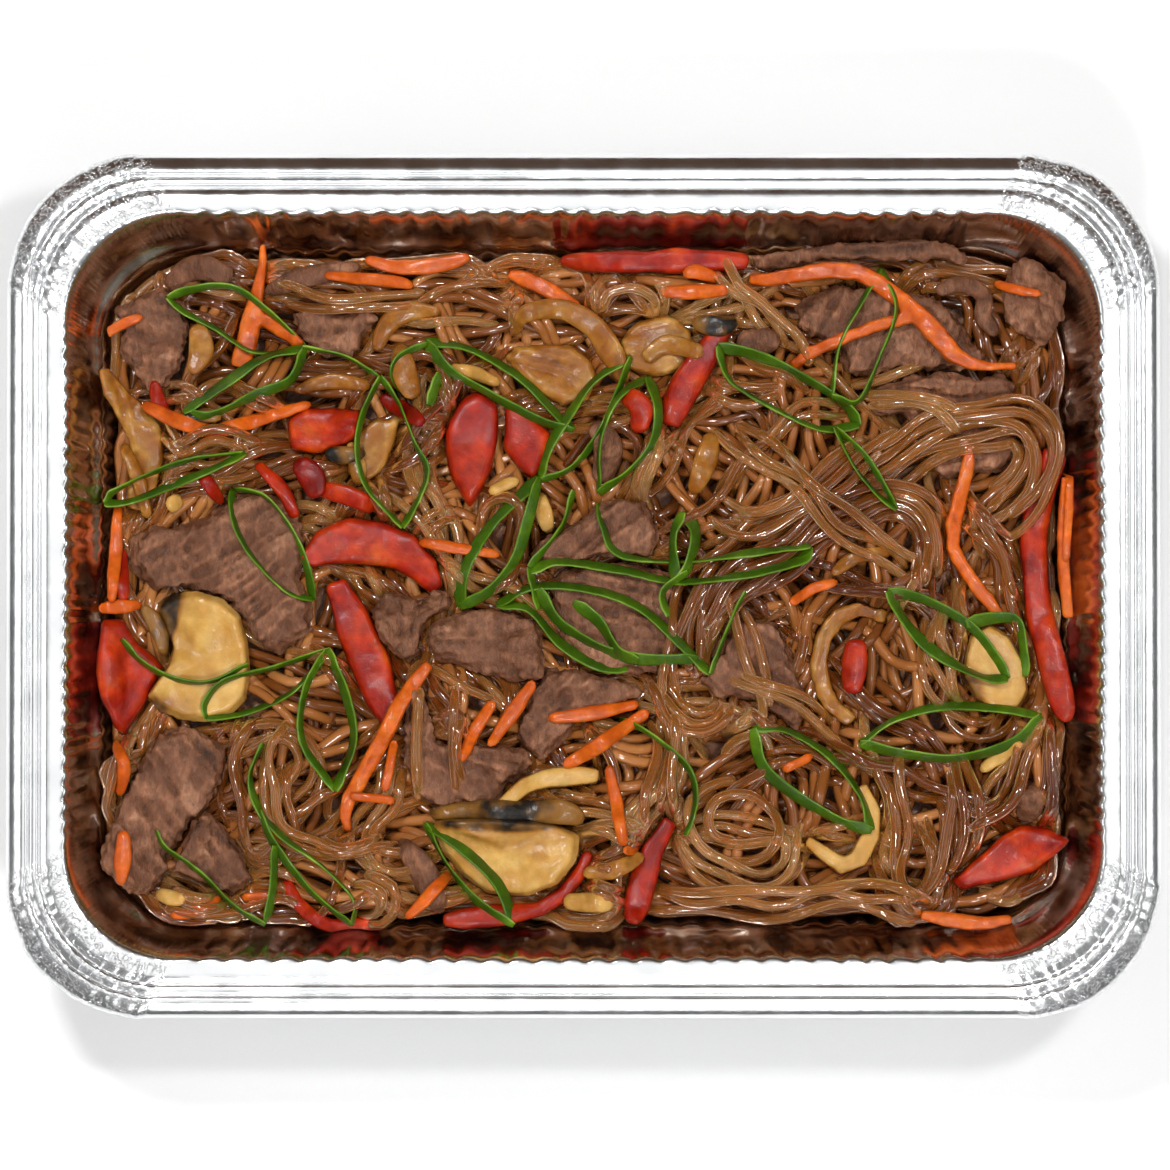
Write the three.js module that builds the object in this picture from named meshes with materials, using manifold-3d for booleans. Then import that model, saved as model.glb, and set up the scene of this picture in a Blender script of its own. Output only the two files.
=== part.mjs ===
// Takeaway tray of stir-fried glass noodles: an open aluminium foil tray, the noodle heap in it,
// and the beef, vegetables and scallion loops that lie on the heap.
// Millimetres, +Z up, origin on the table under the middle of the tray.
import * as THREE from "three";
import Module from "manifold-3d";

const wasm = await Module();
wasm.setup();

// The tray, rim to rim, and how its corners tighten towards the floor
const trayLength = 231;
const trayWidth = 173;
const rimTop = 42;
const rimCorner = 28;
const cornerPerInset = 0.5;
const cornerSteps = 8;

// Section of the foil, as inset from the rim's outer edge and height: first the top side
const foilTop = [
  [26, 0.9], [23.5, 2.2], [18, 27.6], [15.6, 28], [11.7, 40.4], [11, 41],
  [8.6, 41], [8, 41.6], [5.8, 41.6], [5.2, 40.9], [3.8, 40.9], [3, 41.7], [1.6, rimTop], [0.4, 41.5],
];
// Then the underside, back to the floor
const foilUnder = [
  [0, 40.2], [0.5, 39.2], [2, 38.8], [3.4, 39.6], [4.4, 40.3], [10.6, 40.3],
  [12.3, 27.4], [16, 26.9], [22.6, 1.4], [25.2, 0],
];

// The noodle heap: its bare core, and the strands that show
const core = {
  wallGap: 0.7, edgeTop: 23.2, middleTop: 25.2, rings: 6, around: 52,
  footTop: 2.6, underInset: 27.5, under: 1.5,
  bump: 0.9, bumpX: 7.3, bumpY: 6.1, swell: 0.6, swellX: 13, swellY: 9,
};
const strand = { radius: 1.15, sides: 6, step: 6, sink: 0.45, clearance: 1.7, shortest: 13, highest: 27 };

// Space that the heap may fill, as inset and height, so that it keeps clear of the foil
const roomFor = [[24.2, 1.4], [23.9, 2.5], [18.4, 27.9], [16, 28.4], [12.2, 40]];

// What keeps one piece off another, and how closely a piece sags on to what is below it
const pieceGap = 0.32;
const fusedSink = 0.5;
const cell = 0.5;
const sampleStep = 0.4;
const sag = { rounds: 70, firstDrop: 0.5, stiff: 0.25, limp: 0.05, lifts: 40, nearEnough: 0.005 };

// A slice's rings, as shares of its outline, and how it and a strip round off towards the top
const halfway = 0.5;
const shoulderAt = 0.88;
const crown = 1.05;
const stripTop = 0.86;
const stripStep = 5;
const limpStep = 6;

// Thickness of each kind of piece
const thickness = { beef: 3, pepper: 3.2, carrot: 2.2, onion: 1.8, mushroom: 3.4, scallion: 1.5 };

const looks = {
  foil: { color: 0xd4d6d8, roughness: 0.28, metalness: 0.9 },
  noodle: { color: 0x87552d, roughness: 0.3, metalness: 0 },
  beef: { color: 0x7d5545, roughness: 0.6, metalness: 0 },
  pepper: { color: 0xc03a22, roughness: 0.3, metalness: 0 },
  carrot: { color: 0xd9662a, roughness: 0.4, metalness: 0 },
  onion: { color: 0xbd8447, roughness: 0.35, metalness: 0 },
  mushroom: { color: 0xdcb268, roughness: 0.5, metalness: 0 },
  scallion: { color: 0x4b7d1b, roughness: 0.4, metalness: 0 },
};

// Slices: an outline round a middle that sees all of it
const slices = {
  beef_back_large: { middle: [63, 52], edge: [[42, 56.5], [44, 58.5], [50, 61], [57.5, 60.5], [65, 60],
    [71, 58.5], [75, 55.5], [77, 53], [79, 49], [83, 46.5], [82, 44], [73, 43.5], [63, 43.5], [53, 42.5],
    [51, 48], [44, 52]] },
  beef_corner: { middle: [-87, 50], edge: [[-95, 56], [-90, 59.5], [-85, 60.5], [-80.5, 57], [-79.5, 52],
    [-81, 47], [-82.5, 42.5], [-87, 38.5], [-91, 43], [-94, 48], [-93, 52]] },
  beef_folded: { middle: [-50, 52], edge: [[-59, 55.5], [-54, 56.5], [-48, 55.5], [-42.5, 57.5], [-41, 54],
    [-44.5, 50.5], [-46.5, 46], [-53, 47], [-57, 50]] },
  beef_right_back: { middle: [77, 34], edge: [[56.5, 39.5], [60, 41], [63.5, 42], [71.5, 43.5], [79.5, 42],
    [84.5, 43], [87, 41], [87.5, 38], [87, 33], [87.5, 28], [86, 23.5], [80, 23], [72, 21.5], [69, 27],
    [64.5, 35], [59, 35.5]] },
  beef_right_corner: { middle: [90, 58], edge: [[85.5, 64], [89, 67], [93, 65], [97, 61], [97, 54],
    [95, 52.5],
    [93.5, 49], [91.5, 49.5], [88.5, 51], [85, 54], [84.5, 59]] },
  beef_left_large: { middle: [-70, 6], edge: [[-92.5, 6.5], [-91.5, 10], [-87.5, 12.5], [-83.5, 12],
    [-76, 14.5], [-72.5, 18], [-68, 20], [-61, 18.5], [-57, 13.5], [-56, 8], [-57, 1], [-54.5, -4.5],
    [-55, -9], [-61, -14], [-64.5, -12.5], [-69.5, -5], [-73.5, -2], [-82, 0], [-87, -0.5], [-90, 1.5]] },
  beef_lower_left: { middle: [-86, -46], edge: [[-85.5, -29], [-82.5, -28], [-79, -28], [-72, -32],
    [-72, -34],
    [-73.5, -40], [-76.5, -45], [-79.5, -47], [-82, -52], [-83.5, -55], [-84, -59], [-88, -62],
    [-91.5, -62],
    [-97, -57], [-97, -53], [-94.5, -46], [-91.5, -39]] },
  beef_lower_left_small: { middle: [-75, -54], edge: [[-79.5, -48], [-77, -45.5], [-74.5, -45.5],
    [-71, -50.5],
    [-68.5, -53], [-68, -57], [-66, -59], [-71, -62], [-76, -60], [-83.5, -57.5], [-80.5, -52]] },
  beef_centre_under: { middle: [8, -6], edge: [[-7, 2], [-1, 4.5], [11, 5], [19, 2.5], [21, -5], [21, -13],
    [15, -17.5], [5, -17.5], [-3, -13], [-6.5, -6]] },
  beef_middle: { middle: [-7, -25], edge: [[-8, -16], [-1, -17], [7, -18.5], [13, -21], [7, -23], [0, -26],
    [-5, -32], [-8, -34.5], [-12, -33], [-14, -30], [-11, -23]] },
  beef_lower_middle: { middle: [-30, -37], edge: [[-36.5, -21.5], [-32.5, -21], [-30, -31], [-22, -32],
    [-15, -31.5], [-10.5, -33.5], [-11, -38], [-16, -40], [-17, -43.5], [-23, -43.5], [-29, -44.5],
    [-33, -42.5], [-36, -36]] },
  beef_centre_top: { middle: [3, 11], edge: [[-11, 6], [-10, 8.5], [-5, 11], [-1, 13.5], [3.5, 17], [9, 18],
    [12.5, 17], [15.5, 11], [14, 6.5], [8, 6], [3, 6.5], [-6, 3.5]] },
  beef_right_middle: { middle: [35, -15], edge: [[27.5, -13], [29, -9.5], [31.5, -6.5], [39, -7], [41, -11],
    [43.5, -19], [46, -23], [43, -29], [35, -23], [27, -22], [23, -19]] },
  beef_centre_left: { middle: [-36, -6], edge: [[-43, -5], [-41.5, -2.5], [-39.5, -0.5], [-33, -3],
    [-29.5, -0.5],
    [-27, -1], [-26, -3], [-32, -7.5], [-33, -10], [-32.5, -14], [-35.5, -15.5], [-38, -14], [-41, -10]] },
  beef_centre_slab: { middle: [-20, -11.5], edge: [[-32, -8], [-28, -6.5], [-24.5, -4.5], [-19, -4],
    [-14, -5],
    [-9.5, -6.5], [-8, -9], [-8, -18.5], [-13, -19], [-24.5, -16], [-29, -15], [-32, -11.5]] },
  onion_large: { middle: [-5, 43], edge: [[-16, 46.5], [-14, 48.5], [-8, 49.5], [-2, 49], [2, 46], [3, 42],
    [1, 38], [-4, 36.5], [-8, 38.5], [-14.5, 44.5]] },
  onion_back: { middle: [15, 49], edge: [[7, 50], [11, 54], [17, 55.5], [22, 52], [23, 47], [20, 44],
    [14, 42.5], [8, 44]] },
  onion_middle: { middle: [-42, 28], edge: [[-47, 31], [-42, 34], [-37, 34.5], [-38, 29], [-41, 23],
    [-44, 21], [-48, 23]] },
  mushroom_left: { middle: [-76, -14], edge: [[-86.5, -3], [-83, -1], [-78, -0.5], [-73, -2], [-69, -5.5],
    [-67.5, -11], [-67, -17], [-68, -23], [-71, -26], [-76, -27.5], [-81, -27], [-86, -25], [-88, -22],
    [-84, -16], [-83, -12], [-85, -7]] },
  mushroom_lower: { middle: [-15, -53], edge: [[-31, -48], [-29, -46.5], [-17, -46.5], [-5, -47.5],
    [-0.5, -50], [-1, -55], [-5, -60], [-11, -62.5], [-19, -62], [-25, -58], [-29, -53]] },
  mushroom_right: { middle: [83, -17], edge: [[77, -13], [78, -9], [82, -7], [86, -9.5], [89, -15],
    [90, -21],
    [88, -25], [83, -25.5], [79, -23], [76, -18]] },
  pepper_block: { middle: [-52, 32], edge: [[-60, 34], [-57, 36], [-50, 36], [-44.5, 35.5], [-45, 31],
    [-48, 28.5], [-54, 27], [-59, 27.5]] },
  pepper_pair_left: { middle: [-22, 29], edge: [[-28, 30.5], [-27.5, 33.5], [-24.5, 38], [-21, 40],
    [-17, 37.5], [-17.4, 29], [-18.5, 23.5], [-21, 19], [-23, 16], [-25.5, 20], [-27, 23.5]] },
  pepper_pair_right: { middle: [-11, 29], edge: [[-16, 37], [-12, 36], [-6.5, 31], [-8, 26], [-10, 21.5],
    [-13, 23.5], [-16, 28]] },
  pepper_left: { middle: [-92, -17], edge: [[-97, -6.5], [-93, -6], [-90, -11], [-84.5, -16], [-87, -21],
    [-90, -26], [-92.5, -30], [-94.5, -28.5], [-97, -23], [-98, -17], [-97.5, -11]] },
  pepper_corner: { middle: [87, -54], edge: [[74, -59], [80, -54], [84, -50], [88, -48], [94, -48.5],
    [98, -51], [95, -54], [91, -57], [83, -59.5], [76, -61]] },
};

// Strips: a middle line with the half width at each point
const strips = {
  beef_back_strip: [[34.5, 65.5, 1.4], [41, 66, 1.8], [48, 67.3, 1.7], [59, 67.8, 1.7],
    [69, 68.2, 1.9], [77, 66.5, 1]],
  onion_left: [[-96.5, 44, 1.2], [-94.5, 39, 2.4], [-90, 34, 3.2], [-88, 28, 3.4], [-89, 21, 3],
    [-91, 16, 1.8]],
  onion_ring: [[61, -6, 1.4], [54, -4.5, 1.8], [49, -9, 1.8], [47.5, -16, 1.8], [49.5, -23, 1.8],
    [54, -27, 1.4]],
  mushroom_strip: [[-19, -46, 1], [-14, -42, 1.6], [-10, -39, 1.8], [-3, -38, 2.2], [3, -38, 1.5]],
  mushroom_curly: [[45, -51, 0.9], [49, -54, 1.6], [53.5, -56.5, 2], [57, -52, 2], [58.5, -46, 1.8],
    [56, -40, 1.2]],
  pepper_back_strip: [[-4.5, 66, 0.8], [3, 65.5, 2], [13, 65.5, 2.2], [23, 66, 2.1], [33, 65.5, 1.5]],
  pepper_orange: [[29, 53, 0.9], [25.5, 48, 2.6], [22, 43, 3], [19.5, 38, 3.1], [17.5, 33, 1.8]],
  pepper_leg: [[-50, 1, 2.2], [-47, -6, 3.4], [-44, -13, 3.9], [-41, -21, 3.5], [-38.5, -27.5, 1.8]],
  pepper_arch: [[-56, 5, 1.3], [-52, 8, 3.8], [-47, 9.4, 4.8], [-41, 9, 4.4], [-36, 7.2, 3.9],
    [-32, 3.5, 3],
    [-29.5, -0.5, 1.4]],
  pepper_right_strip: [[95, 27, 2.4], [93, 21, 2.7], [91, 13, 2.7], [91, 5, 2.6], [91.5, -3, 2.6],
    [93.3, -11, 2.7], [95, -18, 2.7], [96.5, -24, 2.5], [97.5, -27, 1]],
  pepper_lower: [[17.5, -47, 1.5], [14, -53, 2.3], [12, -59, 2.7], [10.5, -64.5, 2.6], [9.8, -67.5, 1.3]],
  pepper_crescent: [[-28, -67, 1.2], [-22, -66.5, 2.4], [-15, -65.8, 1.8], [-8, -64.5, 1.5],
    [-2.5, -60, 1.3], [1, -53.5, 0.8]],
  carrot_back_curve: [[-15, 63.5, 0.9], [-11, 62, 1.8], [-6, 59.5, 1.8], [-2, 56.5, 1.6], [1.5, 52, 0.8]],
  carrot_long: [[-31, -15.5, 1], [-36, -22, 1.6], [-40, -30, 1.6], [-44.5, -38, 1.6], [-48, -44, 1.4],
    [-47.5, -49, 0.8]],
  carrot_right_diagonal: [[78, 29, 0.9], [77, 22, 1.4], [75, 14.5, 1.7], [74.5, 8, 1.4], [78, 2, 1.4],
    [81.5, -2.5, 1.4], [84, -5.5, 1]],
  carrot_right_edge: [[97, 22, 0.9], [96.6, 14, 1.1], [96.6, 5, 1.2], [97.6, -6, 1]],
  carrot_lower_right: [[68, -66, 0.9], [74, -67, 1.5], [80, -67.8, 1.4], [86, -66.8, 0.8]],
};

// Pieces made of several strips that touch
const bundles = {
  carrot_back_long: [
    [[33.5, 62, 1], [39, 62, 1.4], [47, 63.5, 1.6], [55, 63.5, 1.8], [61, 60, 1.8], [67, 55, 2],
    [72, 50, 2.1],
      [75.5, 46, 1.7], [81, 44.5, 0.8], [87, 44.5, 0.6]],
    [[42, 44.5, 1], [46, 47.5, 1.2], [51, 49.5, 1.2], [57, 52, 1.2], [66, 54.5, 1.4]],
  ],
  carrot_upright: [
    [[-64.5, 69, 0.6], [-65, 63, 0.9], [-66.5, 57, 1.6], [-68, 50, 2.2], [-69.5, 44.5, 2]],
    [[-67, 55.5, 1.2], [-61, 52, 1.5], [-57, 48.5, 1.1]],
  ],
};

// Scallion: loops cut on the slant, each side from one pointed end to the other
const scallions = {
  scallion_corner: [
    [[-84, 58.5], [-79, 60], [-71, 60.5], [-64, 56], [-56, 48.5]],
    [[-84, 58.5], [-80.5, 55.5], [-74, 52], [-66, 47.3], [-56, 48.5]],
    [[-56, 48.2], [-64.5, 46], [-72, 41], [-80.5, 35]],
    [[-56, 48.2], [-59, 41.5], [-66, 38.5], [-75, 34.5], [-80.5, 35]],
    [[-56.5, 48.2], [-48, 46.5], [-41, 42]],
    [[-41, 42.5], [-44.5, 34.5], [-45.5, 27], [-43.5, 20], [-36.5, 12]],
    [[-41, 42.5], [-37, 36.5], [-34, 29], [-31.5, 23.5], [-33, 18], [-36.5, 12]],
  ],
  scallion_back: [
    [[-32, 49.5], [-23, 48], [-13, 42.5], [-6.5, 36], [-2, 31.5]],
    [[-32, 49.5], [-27, 43.5], [-20, 39.5], [-10, 34], [-2, 31.5]],
    [[-31.5, 49], [-37, 46.5], [-38.5, 43], [-36.5, 39]],
  ],
  scallion_pair: [
    [[9.5, 46.5], [2, 41.5], [-3, 34.5], [-7, 28], [-9, 21.5]],
    [[9.5, 46.5], [6.5, 38], [3, 30.5], [-2.5, 24], [-9, 21.5]],
    [[13, 42.5], [7, 38], [3.5, 30], [3, 19]],
    [[13, 42.5], [15, 36], [14, 29], [9.5, 23.5], [3, 19]],
    [[-9, 22], [-11, 20], [-19, 12], [-24, 3], [-25, -4]],
    [[-9, 22], [-11, 14], [-13.5, 6], [-18.5, -0.5], [-25, -4]],
  ],
  scallion_right_back: [
    [[27, 48.5], [35, 46.5], [45.5, 41.5], [53, 36.5], [55.5, 32.5]],
    [[27, 48.5], [29.5, 41.5], [37, 36.5], [47, 32], [55.5, 32.5]],
    [[60, 64.5], [55.5, 56.5], [51.5, 48.5], [50, 38.5]],
    [[60, 64.5], [63, 56], [60, 47], [55.5, 37.5], [50, 38.5]],
    [[50.5, 32.2], [57, 25.5], [63, 15.5]],
    [[50.5, 32.2], [54, 24.5], [59, 18.5], [63, 15.5]],
  ],
  scallion_left: [
    [[-71, 20], [-64.5, 18.5], [-59, 12], [-56, 5], [-54.5, -2.5]],
    [[-71, 20], [-70.5, 13.5], [-67, 6.5], [-60.5, -0.5], [-54.5, -2.5]],
  ],
  scallion_left_edge: [
    [[-98, 17], [-94.5, 19.5], [-87, 23], [-77, 26], [-68, 27]],
    [[-98, 17], [-92, 17.2], [-84, 20], [-75, 23.5], [-68, 27]],
  ],
  scallion_mushroom: [
    [[-93, -10.5], [-89, -15], [-82.5, -18.5], [-75, -19], [-67.5, -15.5]],
    [[-51, -12.5], [-62, -16], [-72, -18.8], [-76, -23], [-76, -26.5]],
    [[-51, -12.5], [-55, -17.5], [-60, -22], [-69, -25.5], [-76, -26.5]],
    [[-51.5, -12.5], [-56, -21], [-56.5, -31], [-50, -41]],
    [[-51.5, -12.5], [-47.5, -23], [-46.5, -31.5], [-50, -41]],
  ],
  scallion_lower_left: [
    [[-64.5, -31.5], [-67, -38], [-65, -45], [-60, -50.5], [-52, -56.5], [-46, -63], [-46.5, -68]],
    [[-65, -45], [-62, -52], [-55, -61], [-46.5, -68]],
    [[-62, -52], [-62.5, -61], [-64, -68]],
    [[-86, -49], [-84, -52.5], [-77, -57.5], [-70.5, -64], [-64, -68]],
  ],
  scallion_centre: [
    [[-11, 3], [-5, 5], [7, 3.5], [19, 1], [31, 2], [43, 5], [45.5, 8]],
    [[45.5, 8], [33, 6.5], [21, 5], [7.5, 6.5], [4, 12], [3, 17]],
    [[-17.5, -3.5], [-10, 0], [1, -0.5], [11, -4], [19, -11], [25.5, -17.5]],
    [[25.5, -17.5], [30, -6], [32.5, -1]],
    [[-17.5, -3.5], [-11, -4.5], [-5, -11], [3, -16], [9, -16.5]],
    [[-9, -0.5], [-5, -7], [3, -12], [11, -14.5], [23, -14.5]],
    [[-11, 4], [-10, 0], [-9, -4.5]],
    [[20, 15], [18, 10], [18.5, 1]],
    [[20, 15], [22.5, 11], [21, 4], [18.5, 1]],
  ],
  scallion_right: [
    [[61, -1], [69.5, -3], [78, -8], [83, -14], [85.5, -18.5]],
    [[61, -1], [65, -7.5], [71, -13.5], [80, -18], [85.5, -18.5]],
    [[77, -7.5], [82, -6.3], [87, -6.5], [88.5, -11], [89, -18]],
  ],
  scallion_right_lower: [
    [[55.5, -31.5], [63, -26.5], [73, -24], [84, -24.5], [92, -26]],
    [[55.5, -31.5], [64, -33.5], [75, -34.5], [86, -31.5], [92, -26]],
  ],
  scallion_lower_right: [
    [[34, -28.5], [41, -29], [49.5, -34], [55.5, -41.5], [58, -49]],
    [[34, -28.5], [36, -36], [42, -41.5], [51.5, -47], [58, -49]],
  ],
  scallion_lower: [
    [[-32, -47.5], [-24.5, -52.5], [-17, -60], [-14, -68]],
    [[-32, -47.5], [-27, -56.5], [-21, -63.5], [-14, -68]],
  ],
};
const scallionHalfWidth = 0.85;

// Small pieces that lie in the noodles and are joined to them, as strips with their thickness
const joined = [
  [3, [[71, 59.5, 1.4], [76, 61, 1.7], [80.5, 59, 1.8], [80.8, 54.5, 1.8], [83.5, 51, 1.2]]],
  [2.2, [[-84, 60.5, 1.8], [-78, 64.5, 2.6], [-71, 62, 2.2]]],
  [2.6, [[-64, 59.5, 1.2], [-57, 62, 2.2], [-50, 63.5, 1.8], [-45, 64.5, 0.9]]],
  [2.6, [[-37, -51, 1.4], [-33, -56, 2.8], [-30, -62, 2.4], [-28.5, -65.5, 1.2]]],
  [2.6, [[2, 33, 1.6], [5, 28, 3], [3.5, 21, 2]]],
  [2.6, [[31, 50, 1.6], [35.5, 49.5, 3], [39.5, 50, 1.6]]],
  [2.6, [[89, -38.5, 1.8], [90, -43, 2.8], [88.5, -47, 2]]],
  [2.2, [[-86.5, 41.5, 1], [-85.5, 37, 1.6]]],
  [2.2, [[-54, 20, 1.4], [-48, 18.5, 2], [-42, 16, 1.6]]],
  [2.6, [[55, -10.5, 2], [54.5, -16, 2.6], [54, -21.5, 1.8]]],
  [2.4, [[8, 39, 1.8], [11.5, 36, 2.4], [11, 31, 1.8]]],
  [1.8, [[-44, 66, 1], [-37, 64.5, 1.5], [-29, 65, 1.6], [-23, 66.5, 1]]],
  [1.8, [[15, 59.5, 1], [21, 59.5, 1.5], [29, 59.5, 1.2]]],
  [1.8, [[41.5, -3.5, 0.9], [46, -0.5, 1.1], [51, 1, 0.8]]],
  [1.8, [[-33, 9, 0.9], [-27, 8, 1.2], [-17, 6.5, 0.9]]],
  [1.8, [[5, -36, 0.9], [6.5, -43, 1.3], [8, -52, 1.1]]],
  [1.8, [[-83, -66, 0.9], [-78, -65.2, 1.3], [-73, -62.5, 0.9]]],
  [1.8, [[-94.5, -31, 0.9], [-92.2, -36, 1.3], [-93.5, -42, 0.9]]],
  [1.8, [[-78, 53, 1.6], [-77, 48, 2.6], [-79, 43, 1.1]]],
  [1.8, [[-42, 48, 1.2], [-39.5, 53, 2], [-35, 55.5, 2], [-29, 55.5, 1.1]]],
  [1.8, [[-14.5, 52, 0.9], [-10, 55, 1.5], [-4, 55, 1.5]]],
  [1.8, [[26, 31, 1.6], [24.5, 25, 2.4], [22, 19, 1.4]]],
  [2.6, [[-4, -63.2, 1.6], [2, -63.5, 2], [6, -63.5, 1.6]]],
  [2.4, [[-86, -61.5, 1.2], [-83, -62.5, 1.6], [-80, -63, 1.2]]],
  [2.4, [[80, -37, 1], [84, -34, 1.5], [88, -31.5, 1]]],
];

// Noodle strands that show: middle lines on the heap
const noodles = [
  [[22, -10], [32, 1], [45, 12], [58, 21], [66, 17], [71, 8], [70, -2]],
  [[24, 16], [34, 12], [46, 18], [56, 28], [62, 32]],
  [[28, 26], [33, 21], [40, 24], [44, 30]],
  [[24, 36], [30, 32], [36, 28], [44, 21], [52, 11], [60, 8], [66, 1]],
  [[16, -22], [17, -32], [24, -41], [31, -41], [34, -48], [29, -54], [23, -49], [26, -41]],
  [[66, -37], [69, -48], [67, -60], [60, -65], [54, -61]],
  [[73, -37], [72, -48], [71, -58], [64, -67]],
  [[84, -37], [80, -44], [74, -50]],
  [[36, -52], [44, -62], [56, -68]],
  [[26, -58], [34, -64], [44, -67.5]],
  [[-68, -31], [-70, -40], [-70, -46]],
  [[-60, -28], [-62, -38], [-58, -47], [-50, -52], [-41, -50]],
  [[-58, -62], [-50, -60], [-42, -58], [-38, -64]],
  [[-24, 56], [-20, 62], [-22, 67]],
  [[-16, 58], [-10, 65.5]],
  [[1, 61], [8, 57.5], [10, 60]],
  [[-48, 14], [-40, 2]],
  [[-34, 46], [-30, 38], [-30, 30]],
  [[28, -30], [22, -24], [22, -36]],
  [[40, -34], [46, -38], [47, -45]],
  [[70, -8], [66, -16], [62, -23]],
  [[72, 18], [76, 10]],
  [[60, 12], [66, 6]],
  [[-52, -48], [-44, -42], [-42, -44]],
  [[-18, 12], [-28, 14], [-34, 20]],
  [[40, 36], [34, 42], [40, 43]],
];

// Shapes

function cornerRadius(inset) {
  return rimCorner - cornerPerInset * inset;
}

// One turn round the tray at an inset, counter-clockwise
function trayLoop(inset, z, steps = cornerSteps) {
  const radius = cornerRadius(inset);
  const cx = trayLength / 2 - inset - radius;
  const cy = trayWidth / 2 - inset - radius;
  const points = [];
  for (let corner = 0; corner < 4; corner++) {
    const sx = corner === 0 || corner === 3 ? 1 : -1;
    const sy = corner < 2 ? 1 : -1;
    for (let k = 0; k <= steps; k++) {
      const angle = (corner + k / steps) * Math.PI / 2;
      points.push([sx * cx + radius * Math.cos(angle), sy * cy + radius * Math.sin(angle), z]);
    }
  }
  return points;
}

// Closed body from a first point, a stack of equal rings and a last point
function ringBody(first, rings, last) {
  const count = rings[0].length;
  const points = [first, ...rings.flat(), last];
  const at = (ring, i) => 1 + ring * count + (i % count);
  const faces = [];
  for (let i = 0; i < count; i++) {
    faces.push([0, at(0, i), at(0, i + 1)]);
    for (let r = 0; r + 1 < rings.length; r++) {
      faces.push([at(r, i), at(r + 1, i), at(r + 1, i + 1)], [at(r, i), at(r + 1, i + 1), at(r, i + 1)]);
    }
    faces.push([at(rings.length - 1, i), points.length - 1, at(rings.length - 1, i + 1)]);
  }
  return { points, faces };
}

function volumeOf({ points, faces }) {
  let sum = 0;
  for (const [a, b, c] of faces) {
    const [p, q, r] = [points[a], points[b], points[c]];
    sum += p[0] * (q[1] * r[2] - q[2] * r[1]) + p[1] * (q[2] * r[0] - q[0] * r[2])
      + p[2] * (q[0] * r[1] - q[1] * r[0]);
  }
  return sum / 6;
}

function solidOf(body) {
  const faces = volumeOf(body) < 0 ? body.faces.map(([a, b, c]) => [a, c, b]) : body.faces;
  return new wasm.Manifold(new wasm.Mesh({
    numProp: 3,
    vertProperties: new Float32Array(body.points.flat()),
    triVerts: new Uint32Array(faces.flat()),
  }));
}

function bodyOf(solid) {
  const mesh = solid.getMesh();
  const points = [];
  const faces = [];
  for (let v = 0; v < mesh.vertProperties.length; v += mesh.numProp) {
    points.push([mesh.vertProperties[v], mesh.vertProperties[v + 1], mesh.vertProperties[v + 2]]);
  }
  for (let t = 0; t < mesh.triVerts.length; t += 3) {
    faces.push([mesh.triVerts[t], mesh.triVerts[t + 1], mesh.triVerts[t + 2]]);
  }
  return { points, faces };
}

// Smooth curve through hand-set points, with each number of a point carried along
function smoothLine(knots, steps) {
  const at = (i) => knots[Math.min(Math.max(i, 0), knots.length - 1)];
  const line = [];
  for (let s = 0; s <= steps; s++) {
    const t = s / steps * (knots.length - 1);
    const i = Math.min(Math.floor(t), knots.length - 2);
    const u = t - i;
    line.push(at(i).map((value, k) => {
      const [a, b, c, d] = [at(i - 1)[k], value, at(i + 1)[k], at(i + 2)[k]];
      return b + 0.5 * u * (c - a + u * (2 * a - 5 * b + 4 * c - d + u * (3 * (b - c) + d - a)));
    }));
  }
  return line;
}

function lengthOf(line) {
  let sum = 0;
  for (let i = 1; i < line.length; i++) sum += Math.hypot(line[i][0] - line[i - 1][0],
    line[i][1] - line[i - 1][1]);
  return sum;
}

// Height map of everything placed so far, seen from above

const columns = Math.ceil(trayLength / cell);
const rows = Math.ceil(trayWidth / cell);
const column = (x) => Math.min(Math.max(Math.floor((x + trayLength / 2) / cell), 0), columns - 1);
const row = (y) => Math.min(Math.max(Math.floor((y + trayWidth / 2) / cell), 0), rows - 1);
const heights = new Float32Array(columns * rows).fill(0);
const covered = new Uint8Array(columns * rows);
const heightAt = (x, y) => heights[row(y) * columns + column(x)];

// Samples a triangle finely enough for the map, as points with their three weights
function eachSample(p, q, r, visit) {
  const longest = Math.max(Math.hypot(q[0] - p[0], q[1] - p[1]), Math.hypot(r[0] - p[0], r[1] - p[1]),
    Math.hypot(r[0] - q[0], r[1] - q[1]));
  const steps = Math.max(1, Math.ceil(longest / sampleStep));
  for (let i = 0; i <= steps; i++) {
    for (let j = 0; i + j <= steps; j++) {
      const [a, b] = [i / steps, j / steps];
      visit(a, b, 1 - a - b);
    }
  }
}

function raiseMap({ points, faces }, mark) {
  for (const [a, b, c] of faces) {
    const [p, q, r] = [points[a], points[b], points[c]];
    eachSample(p, q, r, (u, v, w) => {
      const x = u * p[0] + v * q[0] + w * r[0];
      const y = u * p[1] + v * q[1] + w * r[1];
      const z = u * p[2] + v * q[2] + w * r[2];
      const [i, j] = [column(x), row(y)];
      for (let n = Math.max(j - 1, 0); n <= Math.min(j + 1, rows - 1); n++) {
        for (let m = Math.max(i - 1, 0); m <= Math.min(i + 1, columns - 1); m++) {
          const k = n * columns + m;
          heights[k] = Math.max(heights[k], z);
          if (mark) covered[k] = 1;
        }
      }
    });
  }
}

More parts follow.
